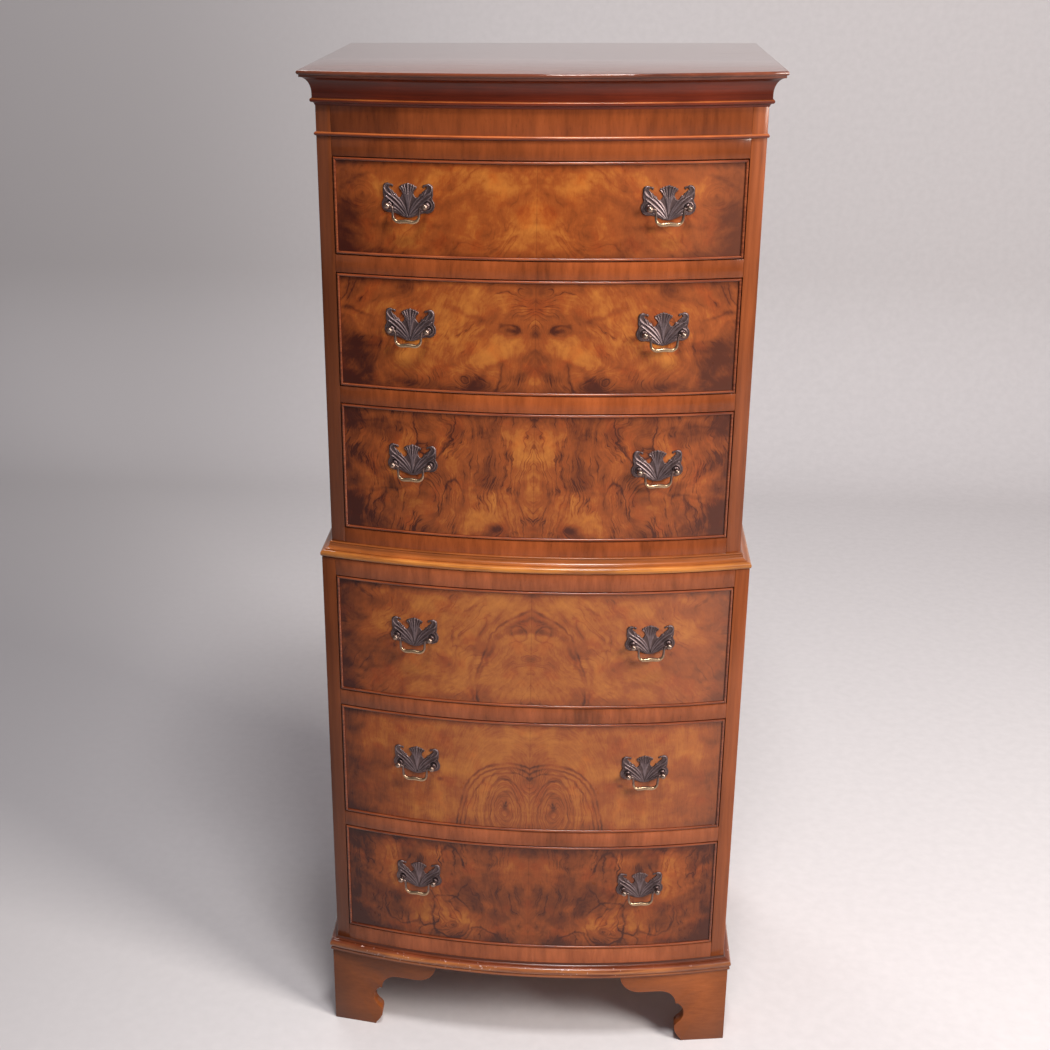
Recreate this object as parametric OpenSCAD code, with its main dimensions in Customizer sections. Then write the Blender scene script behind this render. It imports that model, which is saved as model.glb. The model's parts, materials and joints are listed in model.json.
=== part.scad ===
/* [Cases] */
// Width of the upper case across its sides
case_w = 508; // [470:1:580]
// Depth of the upper case from its back to the middle of the bowed front
case_d = 409; // [390:1:460]
// How far the middle of the front swells past its corners
bow_rise = 33.7; // [26:0.1:42]
// How far the lower case steps out past the upper one, at the front and at each side
case_step = 11.8; // [10.8:0.1:13]
// Thickness of the case sides, whose front edges show beside the drawers
side_t = 18; // [15:0.5:21]
// Thickness of the case backs
back_t = 8; // [5:0.5:12]
// Thickness of the boards that close each case at its foot and its head
board_t = 10; // [8:0.5:12]
// Depth of the rails at their ends
rail_d = 42; // [34:1:55]
// Width of the runners that carry the drawers
runner_w = 30; // [22:1:40]
// Thickness of the runners
runner_t = 16; // [12:0.5:18]

/* [Heights] */
// Height of the bracket feet
foot_h = 118; // [114:1:140]
// Height of the lower bottom rail above the base moulding
low_rail_h = 23; // [18:0.5:30]
// Height of the opening of the top drawer
opening_1 = 113.5; // [95:0.5:130]
// Height of the opening of the second drawer
opening_2 = 139; // [120:0.5:155]
// Height of the opening of the third drawer, the lowest in the upper case
opening_3 = 163; // [145:0.5:180]
// Height of the opening of the fourth drawer, the highest in the lower case
opening_4 = 162; // [145:0.5:180]
// Height of the opening of the fifth drawer
opening_5 = 162; // [145:0.5:180]
// Height of the opening of the lowest drawer
opening_6 = 161; // [145:0.5:180]
// Height of the rails between drawers
rail_h = 21; // [18:0.5:24]
// Height of the top rail of the lower case
low_head_h = 22.5; // [19:0.5:28]
// Height of the upper bottom rail above the waist moulding
up_rail_h = 20; // [18:0.5:28]
// Height of the top rail of the upper case
up_head_h = 22; // [18:0.5:28]
// Height of the plain frieze
frieze_h = 29.5; // [22:0.5:40]

/* [Mouldings] */
// Radius of the half-round bead below the frieze
bead_r = 2.25; // [1.5:0.05:3]
// Radius of the bead at the neck of the cornice
neck_r = 2.4; // [1.8:0.1:3]
// How far the neck bead's centre stands out from the case
neck_out = 3.1; // [2:0.1:4]
// Height of the cove under the neck bead
neck_cove = 3.2; // [2:0.1:4]
// Height of the flat between the neck bead and the hollow of the cornice
cornice_flat = 5; // [3:0.5:8]
// Height of the hollow of the cornice
hollow_h = 18.5; // [14:0.5:24]
// How far the hollow of the cornice spreads
hollow_out = 12.5; // [9:0.5:15]
// Height of the flat edge under the thumb moulding of the top
top_flat = 2.7; // [2:0.1:4]
// Radius of the thumb moulding round the top
thumb_r = 2.4; // [1.8:0.1:3]
// Radius of the nose of the waist moulding
waist_nose = 4.3; // [3.5:0.1:5]
// How far the nose of the waist moulding stands past the lower case
waist_out = 1.9; // [1:0.1:3]
// Height of the hollow above the nose of the waist moulding
waist_cove = 4.8; // [4:0.1:6]
// Radius of the bead at the top of the waist moulding
waist_bead = 1.25; // [1:0.05:1.6]
// Radius of the nose of the base moulding
base_nose = 5.2; // [4.5:0.1:6]
// How far the base moulding stands out from the lower case
base_out = 9.9; // [8.5:0.1:11]
// Height of the square edge under the nose of the base moulding
base_undercut = 3.4; // [2:0.1:4]
// Height of the hollow above the nose of the base moulding
base_cove = 3.4; // [3:0.1:4.5]
// Height of the flats between the members of the waist and base mouldings
fillet_h = 1.3; // [1:0.1:2]

/* [Feet] */
// How far the face of the feet stands out from the lower case
foot_out = 6.3; // [5:0.1:7.5]
// Thickness of the bracket boards
foot_t = 18; // [15:0.5:20]
// Angle by which the straight front brackets turn away from the back's line
foot_turn = 9; // [6:0.5:11]
// Length of a bracket along the base moulding
foot_reach = 146; // [142:0.5:150]
// Width of a foot on the floor
foot_toe = 59.3; // [57:0.1:61]
// Height of a bracket's free end
foot_end_h = 4; // [3:0.5:6]
// How far the drop beside a bracket's free end reaches below the base moulding
foot_drop = 33; // [31:0.5:35]
// Radius of that drop
foot_drop_r = 28; // [26:0.5:30]
// Flat run between the drop and the hollow beside it
foot_flat = 27; // [25:0.5:29]
// Radius of the hollow above the ankle
foot_hollow_r = 22; // [20:0.5:24]
// How deep the lobe is cut into the ankle
foot_lobe_d = 9; // [7:0.1:10]
// Height of the upper end of the toe's curve
foot_toe_z = 30; // [28:0.5:32]
// Width of the glue blocks in the corners of the feet
block_w = 34; // [24:1:40]
// How far the glue blocks stay off the floor
block_lift = 4; // [2:0.5:10]

/* [Drawers] */
// Gap between a drawer front and its opening
drawer_gap = 1; // [0.6:0.1:1.6]
// How far the drawer faces lie behind the rails
front_set = 1; // [0.5:0.1:2]
// Thickness of the drawer fronts
front_t = 20; // [18:0.5:23]
// Width of the beading round each front
bead_w = 3.4; // [2.6:0.1:4]
// Depth of the rebate that holds the beading
bead_d = 8; // [6:0.5:9]
// How far the beading stands proud of the drawer face
bead_proud = 2; // [1:0.1:2.6]
// Thickness of the sides and backs of the drawer boxes
box_t = 9; // [8:0.5:11]
// Thickness of the drawer bottoms
bottom_t = 5; // [4:0.5:6]
// Height of a drawer bottom above the lower edge of the sides
bottom_up = 8; // [6:0.5:10]
// Depth of the grooves that hold the drawer bottoms
groove_d = 4; // [3:0.5:5]
// How much lower than the front the drawer sides are
side_drop = 9; // [6:0.5:14]
// Gap between a drawer's sides and its runners
run_gap = 0.4; // [0.3:0.05:0.6]
// Gap between a drawer box and the case back
rear_gap = 8; // [5:0.5:14]
// Wood left in the front between the dovetails and the beading's rebate
lap = 1.5; // [1:0.1:3]
// Width of a dovetail at its tip
tail_w = 20; // [16:0.5:22]
// Spacing of the dovetails
tail_pitch = 27; // [25:0.5:34]
// Slope of a dovetail, one in this many
tail_slope = 7; // [6:0.5:9]

/* [Handles] */
// Distance of the handles from the middle of a drawer, measured across
handle_x = 147; // [120:1:160]
// Height of the posts above the middle of the top drawer
rise_1 = 4.5; // [0:0.5:10]
// Height of the posts above the middle of the second drawer
rise_2 = 6.5; // [0:0.5:12]
// Height of the posts above the middle of the third drawer
rise_3 = 11; // [0:0.5:18]
// Height of the posts above the middle of the fourth drawer
rise_4 = 9.5; // [0:0.5:18]
// Height of the posts above the middle of the fifth drawer
rise_5 = 8.5; // [0:0.5:18]
// Height of the posts above the middle of the lowest drawer
rise_6 = 14.5; // [0:0.5:20]
// Distance between the two posts of a handle
post_span = 44.6; // [43:0.1:46]
// Size of one unit of the outline of the back plates
plate_u = 1; // [0.95:0.01:1.05]
// Thickness of the back plates
plate_t = 1.8; // [1.2:0.1:2.4]
// Radius of the round lobe of a plate about each post
lobe_r = 9; // [8:0.1:9.4]
// Radius of a post where it passes through the drawer front
post_r = 2; // [1.6:0.1:2.2]
// Radius of the ball that heads a post
ball_r = 3.7; // [3.4:0.1:4.1]
// Thickness of the nuts inside the drawers
nut_t = 3; // [2:0.5:4]
// Distance of the bail's pivot from the drawer face
pivot_out = 10.5; // [10:0.1:12]
// Radius of the bail's pivot pins
pin_r = 1.2; // [1:0.05:1.4]
// Clearance round a pivot pin in its ball
pin_gap = 0.06; // [0.03:0.01:0.09]
// Width of the bail at its arms, between the middles of the rod
bail_w = 32; // [30:0.1:33]
// Drop of the bail below its pivots
bail_drop = 17.6; // [15:0.1:20]
// Radius of the bail's lower corners
bail_corner = 7; // [5:0.1:8]
// Rise of the dip in the middle of the bail
bail_dip = 1.3; // [0.5:0.1:2]
// Radius of the rod at the pivots
rod_r = 1.4; // [1.3:0.05:1.6]
// Radius of the rod at the middle of the grip
grip_r = 2.1; // [1.8:0.05:2.4]

/* [Hidden] */
$fn = 48;
// Glue line between pieces that are held together
seam = 0.1;
// Number of sides of the true arcs of the front when they are drawn as a mesh
front_fn = 720;
// How far a cutting shape reaches past what it cuts
over = 9;
// Smallest step between two members of a moulding
quirk = 0.5;
// Step between the hollow and the lobe of a bracket
lip = 3;
// Curve of the toe, from its corner on the floor
toe_line = [[9.3, 26.5], [9.8, 22], [8.9, 16.5], [6.2, 10.5], [2.2, 4.5], [0, 2.5], [0, 0]];
// Turned members of a post, as their heights above the collar's underside
collar_h = 0.9;
cone_h = 1.7;
stem_h = 3;
// How much thicker than the shank a post is at the top of its cone, and at its stem
cone_out = 0.7;
stem_out = 0.2;
// Length of a post past its nut
post_end = 3;
// Room for the front's hollow back before the nuts
nut_gap = 1.2;
// Gap between the bail and the balls that carry it
ball_gap = 0.3;
// How far the bail's arms lean in
arm_in = 0.6;

front_r = (case_w * case_w / 4 + bow_rise * bow_rise) / (2 * bow_rise);
sweep_a = asin(case_w / 2 / front_r) + 4;
top_out = neck_out + hollow_out + thumb_r;
total_d = case_d + max(top_out, case_step + base_out);
y_back = total_d / 2;
arc_y = y_back - case_d + front_r;

bead_h = 2 * bead_r;
neck_h = neck_cove + 2 * neck_r;
cornice_h = neck_h + cornice_flat + hollow_h;
top_t = top_flat + 2 * thumb_r;
waist_h = 2 * waist_nose + 2 * fillet_h + waist_cove + 2 * waist_bead;
base_h = base_undercut + 2 * base_nose + fillet_h + base_cove;

z_low = foot_h + base_h + low_rail_h;
z_5 = z_low + opening_6 + rail_h;
z_4 = z_5 + opening_5 + rail_h;
z_waist = z_4 + opening_4 + low_head_h;
z_3 = z_waist + waist_h + up_rail_h;
z_2 = z_3 + opening_3 + rail_h;
z_1 = z_2 + opening_2 + rail_h;
z_frieze = z_1 + opening_1 + up_head_h;
z_neck = z_frieze + bead_h + frieze_h;
z_top = z_neck + cornice_h;

drawers = [1, 2, 3, 4, 5, 6];
opening_z = [0, z_1, z_2, z_3, z_4, z_5, z_low];
opening_h = [0, opening_1, opening_2, opening_3, opening_4, opening_5, opening_6];
rise = [0, rise_1, rise_2, rise_3, rise_4, rise_5, rise_6];

// How far drawer i's case stands out from the upper case
function grow(i) = i > 3 ? case_step : 0;
function inner_half(i) = case_w / 2 + grow(i) - side_t;
function drawer_half(i) = inner_half(i) - drawer_gap;
function face_out(i) = grow(i) - front_set;
function front_z(i) = opening_z[i] + drawer_gap;
function front_h(i) = opening_h[i] - 2 * drawer_gap;
function box_z(i) = opening_z[i] + run_gap;
function box_h(i) = front_h(i) - side_drop;
function post_z(i) = opening_z[i] + opening_h[i] / 2 + rise[i];
y_rear = y_back - back_t - rear_gap;

// The front's arc, and the corner of the plan, at a distance out from the upper case's face
function front_y(x, out) = arc_y - sqrt(pow(front_r + out, 2) - x * x);
function corner(out) = [case_w / 2 + out, front_y(case_w / 2 + out, out)];
function along(a, b, t) = a + (b - a) * t;
function arc(c, r, a0, a1, n = 8) =
    [for (i = [0:n]) let (a = a0 + (a1 - a0) * i / n) c + r * [cos(a), sin(a)]];
function quarter(c, rx, ry, a0, a1, n = 8) =
    [for (i = [0:n]) let (a = a0 + (a1 - a0) * i / n) c + [rx * cos(a), ry * sin(a)]];

// Plan of a board with the bowed front, which ends behind at y_end
module bowed(half, out, y_end) {
    intersection() {
        translate([0, arc_y]) circle(front_r + out, $fn = front_fn);
        translate([-half, y_end - total_d]) square([2 * half, total_d]);
    }
}

// Plan of a board of even thickness bent to the front's curve
module bow_band(half, out, thick) {
    difference() {
        bowed(half, out, y_back);
        translate([0, arc_y]) circle(front_r + out - thick, $fn = front_fn);
    }
}

// Front length of a moulding, its profile drawn as distance out from the upper case and height
module front_length(inner, outer) {
    p = along(corner(inner), corner(outer), -1);
    q = along(corner(inner), corner(outer), 2);
    f = q[1] - bow_rise - total_d / 2;
    intersection() {
        translate([0, arc_y, 0]) rotate(-90 - sweep_a)
            rotate_extrude(angle = 2 * sweep_a, $fn = front_fn) translate([front_r, 0]) children();
        translate([0, 0, -over]) linear_extrude(foot_h + 2 * over)
            polygon([p, q, [q[0], f], [-q[0], f], [-q[0], q[1]], [-p[0], p[1]]]);
    }
}

// Right-hand side length of the same moulding, mitred to the front
module side_length(inner, outer) {
    p = along(corner(inner), corner(outer), -1) + [0, seam];
    q = along(corner(inner), corner(outer), 2) + [0, seam];
    intersection() {
        translate([case_w / 2, y_back, 0]) rotate([90, 0, 0]) linear_extrude(total_d) children();
        translate([0, 0, -over]) linear_extrude(foot_h + 2 * over)
            polygon([p, q, [q[0], y_back + over], [p[0], y_back + over]]);
    }
}

// Moulding that runs round the front and both sides
module moulding(inner, outer) {
    front_length(inner, outer) children();
    for (m = [0, 1]) {
        mirror([m, 0, 0]) side_length(inner, outer) children();
    }
}

// Moulded edge of the top, from below upwards: distance out from the case's face, and height
thumb_c = [neck_out + hollow_out, top_flat + thumb_r];
top_line = concat([[thumb_c[0], 0]], arc(thumb_c, thumb_r, -90, 90, 10));

module top_board() {
    right = [for (p = top_line) p + [case_w / 2, 0]];
    left = [for (k = [len(right) - 1:-1:0]) [-right[k][0], right[k][1]]];
    color("#6e2b16") translate([0, 0, z_top]) intersection() {
        translate([0, arc_y, 0]) rotate_extrude($fn = front_fn)
            polygon(concat([[0, 0]], [for (p = top_line) p + [front_r, 0]], [[0, top_t]]));
        translate([0, y_back, 0]) rotate([90, 0, 0]) linear_extrude(2 * total_d) polygon(concat(right, left));
    }
}

module cornice_profile() {
    bead_c = [neck_out, neck_cove + neck_r];
    flat_z = neck_h + cornice_flat;
    polygon(concat([[0, 0]],
        quarter([neck_out, 0], neck_out - quirk, neck_cove, 180, 90, 5),
        arc(bead_c, neck_r, -80, 90, 10),
        [[neck_out, flat_z]],
        quarter([neck_out + hollow_out, flat_z], hollow_out, hollow_h, 180, 90, 10),
        [[0, cornice_h]]));
}

module cornice() {
    color("#5a2013") translate([0, 0, z_neck]) moulding(0, neck_out + hollow_out) cornice_profile();
}

module frieze() {
    color("#9a4a20") translate([0, 0, z_frieze])
        linear_extrude(z_top - z_frieze) bow_band(inner_half(1), 0, front_t);
}

module frieze_bead() {
    color("#7a3016") translate([0, 0, z_frieze])
        moulding(0, bead_r) polygon(concat([[0, 0]], arc([seam, bead_r], bead_r, -90, 90), [[0, bead_h]]));
}

// Both sides of a case that stands out by the given amount
module case_sides(out, z0, z1) {
    for (m = [0, 1]) {
        mirror([m, 0, 0]) translate([0, 0, z0]) linear_extrude(z1 - z0) intersection() {
            bowed(case_w / 2 + out, out, y_back);
            translate([case_w / 2 + out - side_t, y_back - total_d]) square([side_t, total_d]);
        }
    }
}

module upper_sides() {
    color("#8e4420") case_sides(0, z_waist, z_top);
}

module lower_sides() {
    color("#8e4420") case_sides(case_step, foot_h, z_waist);
}

// Rail with the bowed face, from z0 up to z1 in drawer i's case
module rail(i, z0, z1) {
    translate([0, 0, z0]) linear_extrude(z1 - z0)
        bowed(inner_half(i), grow(i), corner(grow(i))[1] + rail_d);
}

module upper_rails() {
    color("#93421c") {
        rail(3, z_waist, z_3);
        rail(2, z_2 - rail_h, z_2);
        rail(1, z_1 - rail_h, z_1);
        rail(1, z_frieze - up_head_h, z_frieze);
    }
}

module lower_rails() {
    color("#93421c") {
        rail(6, foot_h, z_low);
        rail(5, z_5 - rail_h, z_5);
        rail(4, z_4 - rail_h, z_4);
        rail(4, z_waist - low_head_h, z_waist);
    }
}

// Pair of strips along the sides, from the rails to the back, whose top is at z
module runner_pair(i, z, thick) {
    y0 = corner(grow(i))[1] + rail_d;
    for (m = [0, 1]) {
        mirror([m, 0, 0]) translate([inner_half(i) - runner_w, y0, z - thick])
            cube([runner_w, y_back - back_t - y0, thick]);
    }
}

module upper_runners() {
    color("#a8763f") {
        for (i = [1, 2, 3]) {
            runner_pair(i, opening_z[i], runner_t);
        }
        runner_pair(1, z_frieze, up_head_h);
    }
}

module lower_runners() {
    color("#a8763f") {
        for (i = [4, 5, 6]) {
            runner_pair(i, opening_z[i], runner_t);
        }
        runner_pair(4, z_waist - board_t, low_head_h - board_t);
    }
}

module case_back(i, z0, z1) {
    translate([-inner_half(i), y_back - back_t, z0]) cube([2 * inner_half(i), back_t, z1 - z0]);
}

module upper_back() {
    color("#a8763f") case_back(1, z_waist, z_top);
}

module lower_back() {
    color("#a8763f") case_back(6, foot_h, z_waist);
}

// Level board behind the rails of drawer i's case
module case_board(i, z) {
    y0 = corner(grow(i))[1] + rail_d;
    translate([-inner_half(i), y0, z]) cube([2 * inner_half(i), y_back - back_t - y0, board_t]);
}

module upper_floor() {
    color("#a8763f") case_board(3, z_waist);
}

module lower_boards() {
    color("#a8763f") {
        case_board(6, foot_h);
        case_board(4, z_waist - board_t);
    }
}

module waist_profile() {
    nose_c = [case_step + waist_out - waist_nose, waist_nose];
    cove_z = 2 * waist_nose + fillet_h;
    cove_x = nose_c[0] - fillet_h;
    cove_r = cove_x - 2 * waist_bead - fillet_h / 2;
    bead_z = cove_z + waist_cove + fillet_h;
    polygon(concat([[0, 0]],
        arc(nose_c, waist_nose, -75, 90, 10),
        [[cove_x, 2 * waist_nose]],
        quarter([cove_x, cove_z + waist_cove], cove_r, waist_cove, 270, 180, 6),
        [[cove_x - cove_r, bead_z]],
        arc([waist_bead, bead_z + waist_bead], waist_bead, -60, 90, 6),
        [[0, waist_h]]));
}

module waist_moulding() {
    color("#b5561c") translate([0, 0, z_waist]) moulding(0, case_step + waist_out) waist_profile();
}

module base_profile() {
    nose_c = [case_step + base_out - base_nose, base_undercut + base_nose];
    cove_z = nose_c[1] + base_nose + fillet_h;
    cove_x = nose_c[0] - fillet_h / 2;
    polygon(concat([[case_step, 0], [nose_c[0] + base_nose - fillet_h, 0]],
        [[nose_c[0] + base_nose - fillet_h, base_undercut - 2 * quirk]],
        arc(nose_c, base_nose, -55, 90, 10),
        [[cove_x, cove_z - fillet_h]],
        quarter([cove_x, cove_z + base_cove], cove_x - case_step - quirk, base_cove, 270, 180, 6),
        [[case_step, base_h]]));
}

module base_moulding() {
    color("#8a3c18") translate([0, 0, foot_h])
        moulding(case_step, case_step + base_out) base_profile();
}

// Outline of a bracket: distance from the foot's outer corner, and height
module bracket_outline() {
    drop_z = foot_h - foot_drop;
    drop_c = [foot_reach - sqrt(pow(foot_drop_r, 2) - pow(foot_drop_r - foot_drop + foot_end_h, 2)),
        drop_z + foot_drop_r];
    drop_a = asin((foot_drop - foot_drop_r - foot_end_h) / foot_drop_r);
    hollow_c = [drop_c[0] - foot_flat, drop_z - foot_hollow_r];
    cusp = hollow_c - [foot_hollow_r, 0];
    lobe_h = (cusp[1] - foot_toe_z) / 2;
    lobe_r = (lobe_h * lobe_h + foot_lobe_d * foot_lobe_d) / (2 * foot_lobe_d);
    lobe_c = [cusp[0] - lip + lobe_r - foot_lobe_d, foot_toe_z + lobe_h];
    lobe_a = acos((lobe_r - foot_lobe_d) / lobe_r);
    polygon(concat([[0, 0], [0, foot_h], [foot_reach, foot_h]],
        arc(drop_c, foot_drop_r, drop_a, -90, 8),
        arc(hollow_c, foot_hollow_r, 90, 180, 8),
        arc(lobe_c, lobe_r, 180 - lobe_a, 180 + lobe_a, 10),
        [for (p = toe_line) [foot_toe, 0] + p]));
}

// Section of the bracket boards, as distance out from the upper case and height
module bracket_board() {
    translate([case_step + foot_out - foot_t, 0]) square([foot_t, foot_h]);
}

foot_face = case_step + foot_out;
foot_in = foot_face - foot_t;
// Outer and inner corner of a front foot's brackets, seen from above
foot_c = corner(foot_face);
foot_i = foot_c + foot_t * [-1, (1 - sin(foot_turn)) / cos(foot_turn)];

// Right-hand foot at the front: straight bracket, mitred side bracket and glue block
module front_foot() {
    run = (foot_reach + over) * [1, tan(foot_turn)];
    intersection() {
        linear_extrude(foot_h) polygon([foot_c, foot_i, foot_i - run, foot_c - run]);
        translate([foot_c[0], y_back, 0]) rotate([90, 0, 0]) linear_extrude(2 * total_d)
            mirror([1, 0]) bracket_outline();
    }
    intersection() {
        linear_extrude(foot_h) polygon([foot_c + [0, seam], foot_i + [0, seam], [foot_i[0], y_back],
            [foot_c[0], y_back]]);
        translate([0, foot_c[1], 0]) rotate([90, 0, 90]) linear_extrude(foot_c[0] + over) bracket_outline();
    }
    translate(concat(foot_i + seam * [-1, 1], block_lift)) linear_extrude(foot_h - block_lift)
        polygon([[0, 0], block_w * [-1, -tan(foot_turn)], [-block_w, block_w], [0, block_w]]);
}

module feet_front() {
    color("#7d3417") for (m = [0, 1]) {
        mirror([m, 0, 0]) front_foot();
    }
}

// Right-hand foot at the back: side bracket, plain back bracket and glue block
module rear_foot() {
    x_in = case_w / 2 + foot_in;
    intersection() {
        side_length(foot_in, foot_face) bracket_board();
        translate([0, y_back, 0]) rotate([90, 0, 90]) linear_extrude(x_in + foot_t + over)
            mirror([1, 0]) bracket_outline();
    }
    translate([x_in - seam, y_back, 0]) rotate([90, 0, 0]) linear_extrude(foot_t)
        polygon([[0, 0], [0, foot_h], [-foot_h, foot_h], [-foot_h, foot_h - foot_end_h], [-foot_t - block_w, 0]]);
    translate([x_in - seam - block_w, y_back - foot_t - seam - block_w, block_lift])
        cube([block_w, block_w, foot_h - block_lift]);
}

module feet_rear() {
    color("#7d3417") for (m = [0, 1]) {
        mirror([m, 0, 0]) rear_foot();
    }
}

// Dovetails of drawer i's right side, larger by fit all round
module tails(i, fit) {
    tip_y = front_y(drawer_half(i), face_out(i) - bead_d) + lap;
    root_y = front_y(drawer_half(i), face_out(i) - front_t) + lap;
    count = floor(box_h(i) / tail_pitch);
    narrow = (root_y - tip_y) / tail_slope;
    for (k = [0:count - 1]) {
        z = box_z(i) + box_h(i) * (k + 0.5) / count;
        w = tail_w / 2 + fit;
        translate([drawer_half(i) - box_t - fit, 0, z]) rotate([90, 0, 90])
            linear_extrude(box_t + (fit > 0 ? over : 0)) polygon([[tip_y - fit, -w], [root_y, narrow - w],
                [root_y, w - narrow], [tip_y - fit, w]]);
    }
}

// Plan of drawer i's bottom, which reaches into the grooves
module bottom_plan(i, fit) {
    bowed(drawer_half(i) - box_t + groove_d - fit, face_out(i) - front_t + groove_d - fit, y_rear);
}

// Puts a handle's pieces at their place on drawer i: x along the front, -y out of it, side 1 or -1
module at_handle(i, side) {
    r = front_r + face_out(i);
    translate([0, arc_y, post_z(i)]) rotate(side * asin(handle_x / r)) translate([0, -r, 0]) children();
}

module drawer_front(i) {
    color("#a5521f") difference() {
        union() {
            translate([0, 0, front_z(i)]) linear_extrude(front_h(i))
                bow_band(drawer_half(i), face_out(i) - bead_d, front_t - bead_d);
            translate([0, 0, front_z(i) + bead_w + seam]) linear_extrude(front_h(i) - 2 * (bead_w + seam))
                bow_band(drawer_half(i) - bead_w - seam, face_out(i), bead_d + lap);
        }
        translate([0, 0, box_z(i) + bottom_up]) linear_extrude(bottom_t + seam) bottom_plan(i, 0);
        for (m = [0, 1]) {
            mirror([m, 0, 0]) tails(i, seam);
        }
        for (side = [-1, 1]) for (x = [-1, 1]) {
            at_handle(i, side) translate([x * post_span / 2, front_t + over, 0]) rotate([90, 0, 0])
                cylinder(r = post_r + seam, h = front_t + 2 * over);
        }
    }
}

// Front view of one length of beading, mitred at its ends: the top one, or a side one
module bead_mitre(half, h) {
    rotate([90, 0, 0]) linear_extrude(total_d, center = true)
        polygon([[-half, h], [half, h], [half - bead_w, h - bead_w], [bead_w - half, h - bead_w]]);
}

module beading(i) {
    nose = bead_w / 2;
    half = drawer_half(i);
    h = front_h(i) / 2;
    out = face_out(i);
    nose_y = front_y(half - nose, out + bead_proud - nose);
    color("#7a3316") translate([0, 0, front_z(i) + h]) {
        for (m = [0, 1]) {
            mirror([0, 0, m]) intersection() {
                translate([0, arc_y, h - bead_w]) rotate(-90 - sweep_a)
                    rotate_extrude(angle = 2 * sweep_a, $fn = front_fn) translate([front_r + out, 0])
                    polygon(concat([[seam - bead_d, 0]], arc([bead_proud - nose, nose], nose, -90, 90),
                        [[seam - bead_d, bead_w]]));
                translate([0, -total_d / 4, 0]) bead_mitre(half, h);
            }
            mirror([m, 0, 0]) intersection() {
                linear_extrude(2 * h, center = true) difference() {
                    translate([half - bead_w, nose_y]) union() {
                        square([bead_w, bead_d + bead_w]);
                        translate([nose, 0]) circle(nose);
                    }
                    translate([0, arc_y]) circle(front_r + out - bead_d + seam, $fn = front_fn);
                }
                rotate([90, 0, 0]) linear_extrude(total_d, center = true)
                    polygon([[half, seam - h], [half, h - seam], [half - bead_w, h - seam - bead_w],
                        [half - bead_w, seam - h + bead_w]]);
            }
        }
    }
}

module drawer_box(i) {
    half = drawer_half(i);
    tip_y = front_y(half, face_out(i) - bead_d) + lap;
    groove_z = box_z(i) + bottom_up;
    back_z = groove_z + bottom_t + 2 * seam;
    color("#c09a62") {
        for (m = [0, 1]) {
            mirror([m, 0, 0]) difference() {
                union() {
                    translate([0, 0, box_z(i)]) linear_extrude(box_h(i)) intersection() {
                        translate([0, arc_y]) circle(front_r + face_out(i) - front_t - seam, $fn = front_fn);
                        translate([half - box_t, tip_y]) square([box_t, y_rear - tip_y]);
                    }
                    tails(i, 0);
                }
                translate([half - box_t - 1, tip_y - 1, groove_z])
                    cube([groove_d + 1, y_rear - tip_y + over, bottom_t + seam]);
            }
        }
        translate([box_t + seam - half, y_rear - box_t, back_z])
            cube([2 * (half - box_t - seam), box_t, box_z(i) + box_h(i) - back_z]);
    }
}

module drawer_bottom(i) {
    color("#b98f58") translate([0, 0, box_z(i) + bottom_up + seam / 2])
        linear_extrude(bottom_t) bottom_plan(i, seam);
}

// Right half of a back plate's outline, from its lower point up to the top of the palm leaf
plate_half = concat(
    plate_u * [[0, -14.6], [4.6, -14], [9.8, -12], [14.2, -9.8]],
    arc([post_span / 2, 0], lobe_r, -105, 38, 9),
    plate_u * concat([[28.5, 8.2], [29.6, 12]],
        arc([24.2, 19.3], 5.4, -10, 125, 7),
        arc([18.9, 21.6], 1.7, 100, 260, 5),
        arc([20.8, 20.1], 1.5, 170, -70, 5),
        [[19.5, 17], [17.4, 15.6], [16.4, 13.6], [14, 12.9], [12.8, 10.8]],
        arc([10.2, 10.6], 2.1, -30, -150, 4),
        [[6.6, 12.6], [7.2, 16]],
        arc([9, 20], 1.6, -50, 80, 4),
        arc([6.3, 21.6], 1.6, 10, 110, 4),
        arc([3.3, 22.7], 1.6, 20, 120, 4),
        arc([0, 22.9], 2.2, 40, 90, 3)));

module back_plate() {
    left = [for (k = [len(plate_half) - 2:-1:1]) [-plate_half[k][0], plate_half[k][1]]];
    translate([0, -seam / 2, 0]) rotate([90, 0, 0]) difference() {
        linear_extrude(plate_t) polygon(concat(plate_half, left));
        for (x = [-1, 1]) {
            translate([x * post_span / 2, 0, -1]) cylinder(r = post_r + seam, h = plate_t + 2);
        }
    }
}

// Length of a post's shank behind the drawer face
shank = front_t + nut_t + post_end;

// Turned post: shank, collar, stem and ball head drilled for the bail
module post() {
    collar_z = plate_t + 1.5 * seam;
    difference() {
        rotate([90, 0, 0]) rotate_extrude() polygon(concat(
            [[0, -shank], [post_r, -shank], [post_r, collar_z], [ball_r, collar_z], [ball_r, collar_z + collar_h],
             [post_r + cone_out, collar_z + cone_h], [post_r + stem_out, collar_z + stem_h]],
            arc([0, pivot_out], ball_r, -50, 90, 7)));
        translate([0, -pivot_out, 0]) rotate([0, 90, 0])
            cylinder(r = pin_r + pin_gap, h = 4 * ball_r, center = true);
    }
}

// Hexagonal nut behind the drawer front
module nut() {
    translate([0, front_t + nut_gap + nut_t, 0]) rotate([90, 0, 0]) difference() {
        cylinder(r = 2 * post_r, h = nut_t, $fn = 6);
        translate([0, 0, -1]) cylinder(r = post_r + seam, h = nut_t + 2);
    }
}

module pulls(i) {
    color("#4a3a2c") for (side = [-1, 1]) {
        at_handle(i, side) {
            back_plate();
            for (x = [-1, 1]) {
                translate([x * post_span / 2, 0, 0]) {
                    post();
                    nut();
                }
            }
        }
    }
}

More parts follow.
